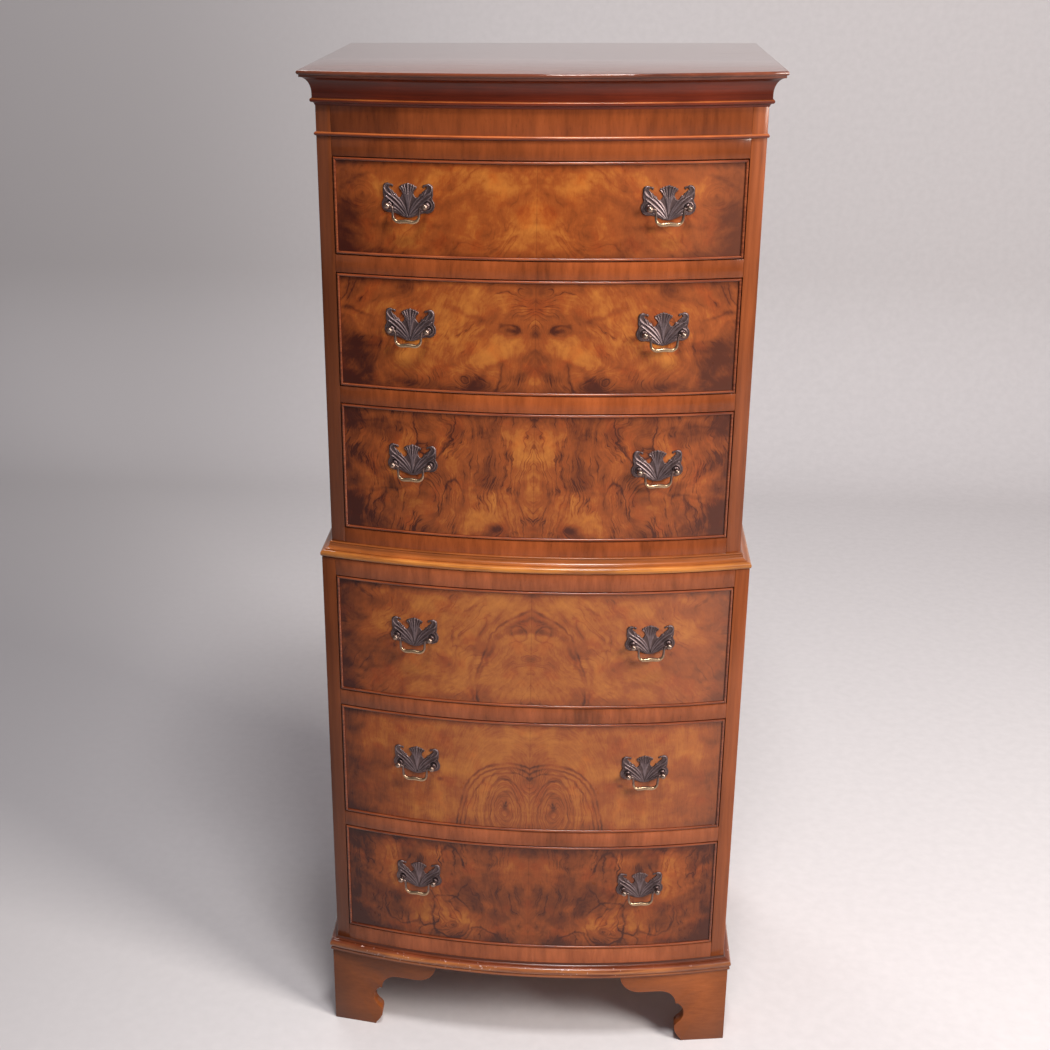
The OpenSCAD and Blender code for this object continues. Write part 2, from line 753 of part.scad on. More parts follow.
// Middle line of the bail's right half, from the post inwards and down to the grip
elbow_x = post_span / 2 - ball_r - ball_gap;
elbow_r = elbow_x - bail_w / 2;
corner_c = [bail_w / 2 - arm_in - bail_corner, bail_corner - bail_drop];
bail_half = concat(
    arc([elbow_x, -elbow_r], elbow_r, 90, 180, 4),
    [[bail_w / 2 - arm_in / 2, (corner_c[1] - elbow_r) / 2]],
    arc(corner_c, bail_corner, 0, -90, 6),
    [for (k = [3:-1:1]) let (x = corner_c[0] * k / 4) [x, bail_dip * pow(sin(90 - 22.5 * k), 2) - bail_drop]]);
bail_line = concat(bail_half, [[0, bail_dip - bail_drop]],
    [for (k = [len(bail_half) - 1:-1:0]) [-bail_half[k][0], bail_half[k][1]]]);

// Round rod of varying thickness along a line in the plane of x and z
module rod(line, sides) {
    last = len(line) - 1;
    points = [for (k = [0:last])
        let (a = line[max(k - 1, 0)], b = line[min(k + 1, last)])
        let (t = k == 0 || k == last ? [-1, 0] : (b - a) / norm(b - a))
        let (r = rod_r + (grip_r - rod_r) * pow(line[k][1] / bail_drop, 2))
        for (s = [0:sides - 1]) let (w = 360 * (s + 0.5) / sides)
            [line[k][0] - t[1] * r * cos(w), r * sin(w), line[k][1] + t[0] * r * cos(w)]];
    skin = [for (k = [0:last - 1]) for (s = [0:sides - 1]) let (n = (s + 1) % sides)
        [k * sides + s, k * sides + n, (k + 1) * sides + n, (k + 1) * sides + s]];
    quads = [for (f = skin) for (half = [[f[0], f[1], f[2]], [f[0], f[2], f[3]]]) half];
    first_cap = [for (s = [sides - 1:-1:0]) s];
    last_cap = [for (s = [0:sides - 1]) last * sides + s];
    polyhedron(points, concat(quads, [first_cap, last_cap]));
}

module bail(i, side) {
    color("#8a6a3a") at_handle(i, side) translate([0, -pivot_out, 0]) {
        rod(bail_line, 10);
        for (x = [-1, 1]) {
            translate([x * (elbow_x + ball_r), 0, 0]) rotate([0, 90, 0])
                cylinder(r = pin_r, h = 2 * ball_r, center = true);
        }
    }
}

top_board();
cornice();
frieze();
frieze_bead();
upper_sides();
upper_rails();
upper_runners();
upper_back();
upper_floor();
waist_moulding();
lower_sides();
lower_rails();
lower_runners();
lower_back();
lower_boards();
base_moulding();
feet_front();
feet_rear();
for (i = drawers) {
    drawer_front(i);
    beading(i);
    drawer_box(i);
    drawer_bottom(i);
    pulls(i);
    bail(i, -1);
    bail(i, 1);
}
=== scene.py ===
"""Bow front chest on chest: veneers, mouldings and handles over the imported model."""

import json
import math
from collections import Counter
from types import SimpleNamespace

import bpy
from mathutils import Matrix, Vector


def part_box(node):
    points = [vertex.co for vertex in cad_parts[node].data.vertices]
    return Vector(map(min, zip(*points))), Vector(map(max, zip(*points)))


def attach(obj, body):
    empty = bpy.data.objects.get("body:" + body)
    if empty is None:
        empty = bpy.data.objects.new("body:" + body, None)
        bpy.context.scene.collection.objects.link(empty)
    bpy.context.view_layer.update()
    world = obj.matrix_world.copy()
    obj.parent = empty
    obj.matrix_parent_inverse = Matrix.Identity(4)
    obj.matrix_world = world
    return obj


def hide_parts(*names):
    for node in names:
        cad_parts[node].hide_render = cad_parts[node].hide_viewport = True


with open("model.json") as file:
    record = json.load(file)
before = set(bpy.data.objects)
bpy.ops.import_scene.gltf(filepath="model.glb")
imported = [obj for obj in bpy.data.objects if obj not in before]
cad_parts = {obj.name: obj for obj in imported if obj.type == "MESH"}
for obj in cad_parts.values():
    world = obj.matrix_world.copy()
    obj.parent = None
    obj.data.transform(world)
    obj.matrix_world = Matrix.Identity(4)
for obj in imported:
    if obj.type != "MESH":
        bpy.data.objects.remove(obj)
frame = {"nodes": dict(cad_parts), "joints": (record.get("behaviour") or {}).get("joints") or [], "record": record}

bl_info = {
    "name": "Bow Front Chest on Chest",
    "version": (1, 0, 0),
    "blender": (4, 5, 0),
    "location": "3D View > Sidebar > Chest",
    "description": "Builds the veneers, mouldings and handles of a bow front chest on chest",
    "category": "Object",
}

BODY_OF = {n: body for body, names in frame["record"]["behaviour"]["bodies"].items() for n in names}
DRAWERS = range(1, 7)
MM = 1000  # millimetres in a metre
# Radius of the bow, its foremost point on the upper case, and half the upper case's width
BOW_RADIUS, CASE_FRONT_Y, CASE_HALF = 0.97406, -0.19365, 0.254


def srgb(*rgb):
    """A colour as read off a screen, 0 to 255, in Blender's linear light."""
    return tuple((c / 255 / 12.92 if c < 10.3 else ((c / 255 + 0.055) / 1.055) ** 2.4) for c in rgb)


# Settings


def setting(make=bpy.props.FloatProperty, **kind):
    """A maker of settings of one kind, such as lengths."""
    return lambda name, description, default: make(name=name, description=description, default=default, **kind)


colour = setting(bpy.props.FloatVectorProperty, subtype="COLOR", min=0, max=1)
point = setting(bpy.props.FloatVectorProperty, subtype="XYZ", unit="LENGTH")
length = setting(unit="LENGTH", min=0)
share = setting(subtype="FACTOR", min=0, max=1)
angle = setting(subtype="ANGLE")
power = setting(unit="POWER", min=0)
amount = setting(min=0)


class WoodFinish(bpy.types.PropertyGroup):
    burr_light: colour("Burr, light", "Palest figure of the drawer veneers", srgb(204, 128, 54))
    burr_mid: colour("Burr, middle", "Main colour of the drawer veneers", srgb(156, 78, 32))
    burr_dark: colour("Burr, dark", "Veins and shaded edges of the drawer veneers", srgb(68, 25, 12))
    rail: colour("Rails", "Cross-grain veneer of the rails and the frieze", srgb(154, 77, 36))
    side: colour("Sides", "Case sides and their front edges", srgb(142, 74, 38))
    top: colour("Top", "Veneer of the top board", srgb(112, 56, 34))
    cornice: colour("Cornice", "Dark polish of the cornice and the edge of the top", srgb(112, 40, 16))
    waist: colour("Waist moulding", "Bright polish of the waist moulding", srgb(168, 92, 40))
    base: colour("Base moulding", "Polish of the base moulding", srgb(130, 64, 38))
    foot: colour("Feet", "Polish of the bracket feet", srgb(166, 90, 44))
    bead: colour("Beading", "Beading round the drawer fronts", srgb(118, 50, 24))
    lining: colour("Drawer linings", "Sides and bottoms of the drawers", srgb(196, 152, 100))
    ground: colour("Front ground", "Solid wood of the drawer fronts behind their veneer", srgb(146, 96, 60))
    inner: colour("Inner wood", "Backs, runners and boards", srgb(176, 134, 88))
    polish: share("Polish", "Strength of the clear gloss over the wood", 0.45)
    polish_blur: share("Polish blur", "How soft the reflections in the gloss are", 0.13)


class HandleSizes(bpy.types.PropertyGroup):
    plate_thick: length("Plate thickness", "Thickness of a back plate at its ribs", 0.0018)
    plate_cell: length("Plate detail", "Size of the mesh cells of a back plate", 0.00045)
    post_span: length("Post span", "Distance between the two posts", 0.0446)
    pivot_out: length("Pivot distance", "Distance of the bail's pivot from the drawer face", 0.0105)
    post_r: length("Post radius", "Radius of a post's shank", 0.002)
    ball_r: length("Ball radius", "Radius of the ball that heads a post", 0.0037)
    pin_r: length("Pin radius", "Radius of the pivot pins", 0.0012)
    bail_w: length("Bail width", "Distance between the arms of a bail", 0.032)
    bail_drop: length("Bail drop", "Drop of a bail below its pivots", 0.0176)
    bail_corner: length("Bail corner", "Radius of a bail's lower corners", 0.007)
    bail_dip: length("Bail dip", "Rise of the dip in the middle of a bail", 0.0007)
    rod_r: length("Rod radius", "Radius of a bail's rod at its pivots", 0.0014)
    grip_r: length("Grip radius", "Radius of a bail's rod at its middle", 0.0025)
    plate: colour("Plate", "Dark antiqued metal of the plates", srgb(106, 87, 86))
    # On a bail this colour also paints the highlight on the front of the grip
    worn: colour("Worn metal", "Metal that shows where hands have worn the finish", srgb(226, 190, 142))


class StageSettings(bpy.types.PropertyGroup):
    camera: point("Camera", "Place of the camera", (0.0692, -1.91675, 1.461))
    turn: angle("Turn", "Turn of the view to the left", math.radians(5.3))
    tilt: angle("Tilt", "Downward tilt of the view", math.radians(21.11))
    roll: angle("Roll", "Roll of the view", math.radians(-0.38))
    lens: amount("Lens", "Focal length in millimetres", 52.43)
    floor: colour("Floor", "Colour of the floor and the backdrop as they are seen", (0.78, 0.75, 0.77))
    bounce: colour("Floor bounce", "Colour of the light that the floor gives back to the chest", (0.42, 0.39, 0.37))
    room: colour("Room", "Colour of the even light from the right", (0.9, 0.86, 1))
    key: power("Key lamp", "Power of the lamp at the front right", 108)
    fill: power("Fill lamp", "Power of the lamp at the front left", 2)
    top: power("Top lamp", "Power of the lamp overhead", 38)
    back: power("Back lamp", "Power of the lamp behind the chest", 26)
    sky: amount("Room light", "Strength of the even light from the right", 0.3)


# Mesh tools


def clear():
    """Leaves object mode with nothing selected."""
    if bpy.context.object and bpy.context.object.mode != "OBJECT":
        bpy.ops.object.mode_set(mode="OBJECT")
    bpy.ops.object.select_all(action="DESELECT")


def activate(piece):
    clear()
    piece.select_set(True)
    bpy.context.view_layer.objects.active = piece


def choose(piece, test, mode="FACE"):
    """Goes into edit mode with the faces or vertices of a piece selected that pass the test."""
    activate(piece)
    bpy.ops.object.mode_set(mode="EDIT")
    bpy.ops.mesh.select_all(action="DESELECT")
    bpy.ops.mesh.select_mode(type=mode)
    bpy.ops.object.mode_set(mode="OBJECT")
    for part in piece.data.polygons if mode == "FACE" else piece.data.vertices:
        part.select = test(part)
    bpy.ops.object.mode_set(mode="EDIT")


def edit_all():
    """Goes into edit mode with all of the active piece selected."""
    bpy.ops.object.mode_set(mode="EDIT")
    bpy.ops.mesh.select_all(action="SELECT")


def finish_mesh(piece, smooth=30, bevel=0, segments=2):
    """Eases the edges of a piece and shades its rounds smooth."""
    activate(piece)
    if bevel:
        ease = piece.modifiers.new("ease", "BEVEL")
        ease.width, ease.segments, ease.limit_method, ease.angle_limit = bevel, segments, "ANGLE", math.radians(35)
        bpy.ops.object.modifier_apply(modifier=ease.name)
    bpy.ops.object.shade_smooth_by_angle(angle=math.radians(smooth))
    return piece


def settle(piece, body, node):
    """Puts a finished piece on its body, in place of the CAD node that it stands for."""
    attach(piece, body)
    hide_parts(node)


def dress(node, material, bevel=0, smooth=30):
    """Dresses a CAD node: a merged and eased copy of its mesh, in its wood, stands for it."""
    activate(frame["nodes"][node])
    bpy.ops.object.duplicate()
    piece = bpy.context.object
    piece.name = piece.data.name = node + "_wood"
    piece.parent = None
    for key in list(piece.keys()):
        del piece[key]
    piece.data.materials.clear()
    edit_all()
    bpy.ops.mesh.remove_doubles(threshold=2e-6)
    bpy.ops.mesh.dissolve_limited(angle_limit=math.radians(0.2))
    bpy.ops.object.mode_set(mode="OBJECT")
    if piece.data.has_custom_normals:
        bpy.ops.mesh.customdata_custom_splitnormals_clear()
    finish_mesh(piece, smooth, bevel)
    piece.data.materials.append(material)
    settle(piece, BODY_OF[node], node)
    return piece


def paint(node, material):
    """Gives a CAD node, left as it is, its wood."""
    piece = frame["nodes"][node]
    piece.data.materials.clear()
    piece.data.materials.append(material)


def handle_place(bail, sizes):
    """The frame of a handle on its drawer's face: x along the front, y into it, z up."""
    joint = next(j for j in frame["joints"] if j["child"] == bail)
    along = -Vector(joint["axis"]).normalized()
    inwards = Vector((0, 0, 1)).cross(along)
    place = Matrix((along, inwards, (0, 0, 1))).transposed().to_4x4()
    place.translation = Vector(joint["pos_m"]) + inwards * sizes.pivot_out
    return place


def placed_copy(piece, name, place):
    """A copy of a modelled piece with its own mesh, moved to its place."""
    activate(piece)
    bpy.ops.object.duplicate()
    copy = bpy.context.object
    copy.name = copy.data.name = name
    copy.data.transform(place)
    return copy


def remove(piece):
    activate(piece)
    bpy.ops.object.delete()


def cylinder(radius, depth, place, vertices=24, lying=False):
    """A cylinder that stands along z, or lies along x."""
    turn = (0, math.pi / 2 * lying, 0)
    bpy.ops.mesh.primitive_cylinder_add(vertices=vertices, radius=radius, depth=depth, location=place, rotation=turn)
    return bpy.context.object


def join(pieces):
    """Joins pieces into the first one."""
    activate(pieces[0])
    for piece in pieces:
        piece.select_set(True)
    bpy.ops.object.join()
    return pieces[0]


# Shader tools


def sum_with(operation, turned_round=False):
    """A method of Value that adds a Math node."""
    if turned_round:
        return lambda self, other: self.maths(operation, other, self)
    return lambda self, *others: self.maths(operation, self, *others)


class Value:
    """A socket of a material. Sums on it add Math nodes, and add() adds any other node."""

    __add__ = __radd__ = sum_with("ADD")
    __mul__ = __rmul__ = sum_with("MULTIPLY")
    __sub__ = sum_with("SUBTRACT")
    __rsub__ = sum_with("SUBTRACT", turned_round=True)
    __truediv__ = sum_with("DIVIDE")
    __abs__ = sum_with("ABSOLUTE")
    root = sum_with("SQRT")

    def __init__(self, tree, socket=None):
        self.tree, self.socket = tree, socket

    def add(self, kind, settings=(), values=(), out=0):
        node = self.tree.nodes.new("ShaderNode" + kind)
        for name, value in dict(settings).items():
            if name == "stops":
                stops = node.color_ramp.elements
                for k, (at, shade) in enumerate(value):
                    stop = stops[k] if k < 2 else stops.new(at)
                    stop.position, stop.color = at, (*shade, 1)
            else:
                setattr(node, name, value)
        for name, value in dict(values).items():
            if isinstance(value, Value):
                self.tree.links.new(value.socket, node.inputs[name])
            elif hasattr(value, "__len__") and len(node.inputs[name].default_value) == 4:
                node.inputs[name].default_value = (*value[:3], 1)
            else:
                node.inputs[name].default_value = value
        return Value(self.tree, node.outputs[out])

    def maths(self, operation, *values):
        return self.add("Math", {"operation": operation}, enumerate(values))

    def bell(self):
        """1 at zero, falling off like a bell on both sides."""
        return self.maths("EXPONENT", 0 - self * self)

    def smooth(self, low, high):
        """0 below low, 1 above high, and a soft slope between them."""
        return self.add(
            "MapRange", {"interpolation_type": "SMOOTHSTEP"}, {"Value": self, "From Min": low, "From Max": high}
        )

    def parts(self):
        split = self.add("SeparateXYZ", values={0: self})
        return [Value(self.tree, s) for s in split.socket.node.outputs]

    def vector(self, x, y, z):
        return self.add("CombineXYZ", values=enumerate((x, y, z)))

    def stretch(self, x, y, z, shift=0):
        """A vector scaled along each axis and moved off along all of them."""
        return self.add(
            "VectorMath", {"operation": "MULTIPLY_ADD"}, {0: self, 1: (x, y, z), 2: (shift, shift * 1.7, shift * 0.6)}
        )

    def noise(self, detail=2, rough=0.5, bend=0):
        """Noise read at a vector, 0 to 1."""
        values = {"Vector": self, "Scale": 1, "Detail": detail, "Roughness": rough, "Distortion": bend}
        return self.add("TexNoise", {}, values)

    def noises(self, detail=1):
        """Three independent noises read at a vector, each -0.5 to 0.5."""
        colours = self.add("TexNoise", {}, {"Vector": self, "Scale": 1, "Detail": detail}, out=1)
        return [part - 0.5 for part in colours.parts()]

    def ramp(self, *stops):
        return self.add("ValToRGB", {"stops": stops}, {0: self})

    def mix(self, low, high, blend="MIX"):
        """Two colours mixed by this value."""
        return self.add("Mix", {"data_type": "RGBA", "blend_type": blend}, {0: self, 6: low, 7: high}, out=2)


class Finish(Value):
    """A material being made: its shader, and the place on the piece that patterns are read from."""

    def __init__(self, name, **constants):
        self.material = bpy.data.materials.new(name)
        self.material.use_nodes = True
        super().__init__(self.material.node_tree)
        self.shader = self.tree.nodes["Principled BSDF"]
        for socket, value in constants.items():
            self.shader.inputs[socket.replace("_", " ")].default_value = value
        self.place = self.add("TexCoord", out=3)

    def set(self, **links):
        for socket, value in links.items():
            self.tree.links.new(value.socket, self.shader.inputs[socket.replace("_", " ")])

    def height(self):
        """How high or worn each point is, as set_height() has stored it."""
        return self.add("Attribute", {"attribute_name": "height"}, out=2)

    def bump(self, height, depth, strength):
        """Raises the surface by depth metres where height is 1."""
        self.set(Normal=self.add("Bump", {}, {"Strength": strength, "Distance": depth, "Height": height}))


def tint(base, gain, shift=0):
    """A colour made lighter or darker, and redder as shift grows."""
    return tuple(min(1, c * gain * (1 + s)) for c, s in zip(base, (shift, 0, -shift)))


def blend(one, other, part):
    return tuple(p + (q - p) * part for p, q in zip(one, other))


def grain(tone, base, *stops):
    """The colours of a wood's grain, each stop (tone, gain, shift) a tint of its base."""
    return tone.ramp(*((at, tint(base, gain, shift)) for at, gain, shift in stops))


# Woods


def polished(name, gloss, blur):
    """A wood under a clear polish, without much shine of its own."""
    return Finish(name, Coat_Weight=gloss, Coat_Roughness=blur, Specular_IOR_Level=0.12)


def plain_wood(name, base, scales, seed, contrast, polish=None, blotch=0.5, rough=0.34, blur=None, painted_shades=()):
    """Straight-grained wood. scales says how fast the grain changes along x, y and z, per metre.

    Each painted shade (direction, low, high, strength) darkens the wood from low to high, as shade where less light
    falls."""
    wood = bpy.context.scene.chest_wood
    m = polished(name, wood.polish if polish is None else polish, blur or wood.polish_blur)

    def along_grain(place, gain, shift):
        return place.stretch(*(scale * gain for scale in scales), seed + shift)

    wave = m.place.stretch(9, 9, 9, seed).noises()
    px, py, pz = m.place.parts()
    slack = 0.004
    bent = m.vector(px + wave[0] * slack, py + wave[1] * slack, pz + wave[2] * slack)
    streaks = along_grain(bent, 1, 0).noise(5, 0.62, 0.15)
    bands = along_grain(bent, 0.22, 3).noise(3, 0.5, 0.3)
    fibres = along_grain(m.place, 4.2, 7).noise(2, 0.7)
    cloud = m.place.stretch(7, 7, 7, seed + 11).noise(2)
    pore = fibres.smooth(0.6, 0.72)
    tone = 0.5 + (streaks - 0.5) * (1.1 * contrast) + (bands - 0.5) * (0.9 * contrast) + (cloud - 0.5) * blotch
    tone = tone - pore * 0.14
    figure = grain(tone, base, (0.12, 0.42, 0.06), (0.4, 0.8, 0.03), (0.62, 1.1, 0), (0.9, 1.48, -0.04))
    # Painted shade: darker along each given direction
    for direction, low, high, strength in painted_shades:
        at = {"outwards": abs(px), "upwards": pz, "rightwards": px}[direction] + wave[1] * min(0.03, abs(high - low))
        figure = (at.smooth(low, high) * strength).mix(figure, tint(base, 0.25))
    m.set(Base_Color=figure, Roughness=rough + (streaks - 0.5) * 0.12 + pore * 0.15)
    m.bump(1 - pore, 0.00006, 0.5)
    return m.material


def moulded_wood(name, base, seed, chips=None, crest_highlight=None, wear_and_highlight=None, edge=None, gloss=0.9):
    """Wood of a moulding, lighter where hands and dusters have worn it and where a highlight is painted,
    with painted shade in its hollows, towards its ends and along its lower edge.

    chips: (low, high) of the chipped band; crest_highlight: (low, high, colour) of a painted highlight line;
    wear_and_highlight: (colour, strength) of what shows through where the "height" attribute is high, worn
    and painted highlight; edge: height of the lower edge that painted shade darkens."""
    m = polished(name, gloss, 0.2)
    streaks = m.place.stretch(14, 14, 520, seed).noise(5, 0.6, 0.2)
    bands = m.place.stretch(5, 5, 120, seed + 4).noise(3)
    cloud = m.place.stretch(22, 22, 40, seed + 8).noise(3)
    fibres = m.place.stretch(60, 60, 1700, seed + 2).noise(2)
    tone = 0.5 + (streaks - 0.5) * 0.9 + (bands - 0.5) * 0.5 + (cloud - 0.5) * 0.6
    figure = grain(tone, base, (0.15, 0.45, 0.08), (0.45, 0.86, 0.02), (0.65, 1.15, 0), (0.92, 1.55, -0.05))
    rough = 0.32 + (cloud - 0.5) * 0.14
    x, _, z = m.place.parts()
    # Painted highlight: a bright line along the moulding
    if crest_highlight:
        low, high, bright = crest_highlight
        middle = (low + high) / 2
        line = z.smooth(low, middle) * (1 - z.smooth(middle, high))
        figure = (line * (cloud * 1.6 - 0.1)).mix(figure, bright)
    # Lighter where the "height" attribute is high: worn, and painted highlight
    if wear_and_highlight:
        height = m.height()
        bare, rub = wear_and_highlight
        figure = (height.smooth(0.62, 1) * (cloud + (streaks - 0.5) * 2.2) * rub).mix(figure, bare)
        # Painted shade in the hollows, where the "height" attribute is low
        figure = ((1 - height.smooth(0, 0.55)) * 0.85).mix(figure, tint(base, 0.22))
    # Painted shade: darker towards the ends
    figure = (abs(x).smooth(0.16, 0.27) * 0.4).mix(figure, tint(base, 0.3))
    # Painted shade along the lower edge
    if edge:
        wide = 0.0022
        dark = (edge + wide - z + (cloud - 0.5) * 0.002).smooth(0, wide) * 0.8
        figure = dark.mix(figure, tint(base, 0.3, 0.2))
    if chips:
        low, high = chips
        spots = m.place.stretch(210, 210, 330, seed + 20).noise(3, 0.6)
        patches = m.place.stretch(24, 24, 24, seed + 30).noise(2)
        soft = 0.002
        band = z.smooth(low, low + soft) * (1 - z.smooth(high - soft, high))
        worn = spots.smooth(0.63, 0.66) * patches.smooth(0.44, 0.52) * band * 0.9
        figure = worn.mix(figure, srgb(224, 188, 178))
        rough = rough + worn * 0.3
        m.bump(1 - worn * 0.8 - fibres * 0.15, 0.0003, 0.6)
    else:
        m.bump(fibres, 0.00005, 0.35)
    m.set(Base_Color=figure, Roughness=rough)
    return m.material


# The figure of each drawer's burr, from the top drawer down, in millimetres from the drawer's middle.
# Its right half is mirrored on the left.
BURRS = dict(
    tone=(0.57, 0.58, 0.56, 0.65, 0.67, 0.47),  # middle tone, 0 dark to 1 pale
    # How fast its lines rise outwards and upwards
    lean=((0.4, 0.3), (0.85, 0.55), (0.45, 0.05), (0.7, 0.62), (0, 0.02), (0.3, -0.05)),
    # Rings about a point: gain, x, z, squeeze in x and z
    ring=(None, None, (0.75, 0, 0, 1, 0.4), None, (0.9, 31, -50, 1.15, 0.55), (0.5, 0, 10, 1, 0.42)),
    period=(46, 30, 19, 34, 13, 22),  # width of a band
    along=(150, 120, 110, 120, 140, 110),  # length of the streaks
    bend=(46, 28, 26, 30, 12, 30),  # how far the lines wander
    ragged=(9, 9, 12, 9, 6, 15),  # how far they fray
    bands=(0.4, 0.44, 0.48, 0.3, 0.24, 0.44),  # strength of the bands
    veins=(  # thickness, darkness, and how rare
        (0.012, 0.14, 0.46), (0.016, 0.34, 0.5), (0.017, 0.36, 0.44),
        (0.014, 0.2, 0.5), (0.018, 0.26, 0.5), (0.018, 0.3, 0.44),
    ),
    reach=(None, None, None, None, (92, 96, -78), None),  # oval that the veins keep to: half width, half height, z
    patch=(0.34, 0.5, 0.44, 0.36, 0.34, 0.42),  # strength of the clouds
    # Painted reflection: strength of a pale lilac veil at the left, middle and right
    cool=((0, 0, 0.5), (0, 0.1, 0.3), (0, 0.12, 0.2), (0, 0.45, 0.75), (0, 0.45, 0.6), (0, 0.2, 0.15)),
    left=(0, 0.02, 0.03, 0.13, 0.15, 0.1),  # painted shade: how much darker the left end is
    shade=((50, 17), (60, 17), (48, 22), (48, 19), (44, 18), (50, 24)),  # width of the dark ends and edges
    corner=(0.6, 0.8, 0.5, 0.5, 0.4, 0.7),  # strength of the dark lower corners
    seed=(2, 11, 23, 37, 41, 59),  # seed of the noises
    knots=(  # (x, z, half width, half height, darkness, rings)
        [(58, -24, 12, 12, 0.12, 0.5), (200, 14, 12, 10, 0.16, 1), (150, 40, 24, 14, 0.16, 0.3),
         (0, -20, 60, 26, -0.06, 0), (212, -40, 18, 14, 0.14, 0.5)],
        [(23, 9, 5, 4, 0.34, 1.2), (33, 9, 5, 4, 0.3, 1.2), (6, 52, 13, 10, 0.34, 1.3), (64, -58, 16, 9, 0.26, 1.7),
         (84, -50, 8, 7, 0.2, 1.4), (140, -58, 24, 11, 0.26, 1.3), (150, 52, 16, 12, 0.24, 0.8),
         (34, -40, 10, 14, 0.12, 0.6), (205, -30, 30, 34, 0.14, 0.6)],
        [(92, 58, 13, 12, 0.14, 1.4), (124, 40, 12, 12, 0.16, 1.2), (118, -38, 14, 24, 0.16, 1.6),
         (44, -66, 8, 7, 0.36, 0.8), (196, 56, 24, 18, 0.2, 0.8), (60, 10, 10, 16, 0.12, 0.8),
         (0, 0, 22, 60, -0.13, 0), (186, -26, 34, 18, -0.1, 0.5)],
        [(13, 24, 6, 5, 0.28, 1.5), (26, 22, 5, 5, 0.2, 1), (3, -12, 7, 5, 0.26, 1.2), (196, 48, 24, 14, 0.18, 1),
         (214, 30, 10, 8, 0.16, 0.8), (50, -6, 14, 18, 0.14, 0.6), (104, -26, 12, 8, 0.16, 0.6),
         (60, -50, 70, 20, -0.07, 0)],
        [(31, -43, 3, 6, 0.46, 0.6), (6, -6, 7, 12, 0.18, 0.9), (116, -12, 3, 3, 0.34, 0),
         (205, 10, 20, 16, 0.16, 0.8), (200, -50, 20, 16, 0.14, 0.8), (30, -40, 40, 50, 0.04, 0)],
        [(92, -42, 24, 20, -0.1, 0.6), (128, -30, 20, 20, -0.08, 0.5), (100, -56, 6, 5, 0.26, 1.4),
         (126, -52, 6, 5, 0.22, 1.2), (70, -20, 10, 12, 0.14, 1), (192, 36, 34, 18, -0.14, 0.4),
         (150, 60, 20, 14, 0.14, 0.4), (40, -30, 22, 40, 0.08, 0)],
    ),
    loops=(  # (x, z, half width, half height, thickness, darkness)
        [(190, 10, 34, 30, 3, 0.12)],
        [(0, -128, 58, 132, 2.2, 0.26), (0, -132, 92, 118, 3.6, 0.24), (226, -14, 46, 42, 2.6, 0.22),
         (0, 84, 120, 74, 5, 0.2), (28, 8, 15, 10, 1.4, 0.24)],
        [(121, 74, 22, 54, 1.5, 0.4), (62, 30, 8, 62, 1.4, 0.24), (100, -70, 16, 62, 1.5, 0.3),
         (132, -60, 14, 52, 1.4, 0.24), (190, 20, 60, 46, 2.6, 0.14)],
        [(-60, -60, 130, 130, 1.6, 0.34), (-60, -68, 128, 128, 2.4, 0.24), (-60, -50, 138, 136, 3.4, 0.18),
         (13, 23, 11, 9, 1.4, 0.22), (216, 20, 70, 60, 4, 0.12)],
        [(28, -78, 68, 98, 1.6, 0.4), (28, -78, 63, 92, 1.3, 0.34), (28, -80, 57, 87, 1.1, 0.24),
         (31, -58, 27, 56, 1.1, 0.22), (31, -52, 19, 38, 1, 0.16)],
        [(104, -44, 27, 34, 1.6, 0.44), (134, -34, 15, 26, 1.3, 0.34), (104, 26, 17, 46, 1.5, 0.26),
         (60, -86, 24, 30, 1.4, 0.36), (0, 20, 40, 84, 1.8, 0.14), (168, -20, 26, 44, 1.6, 0.24)],
    ),
)


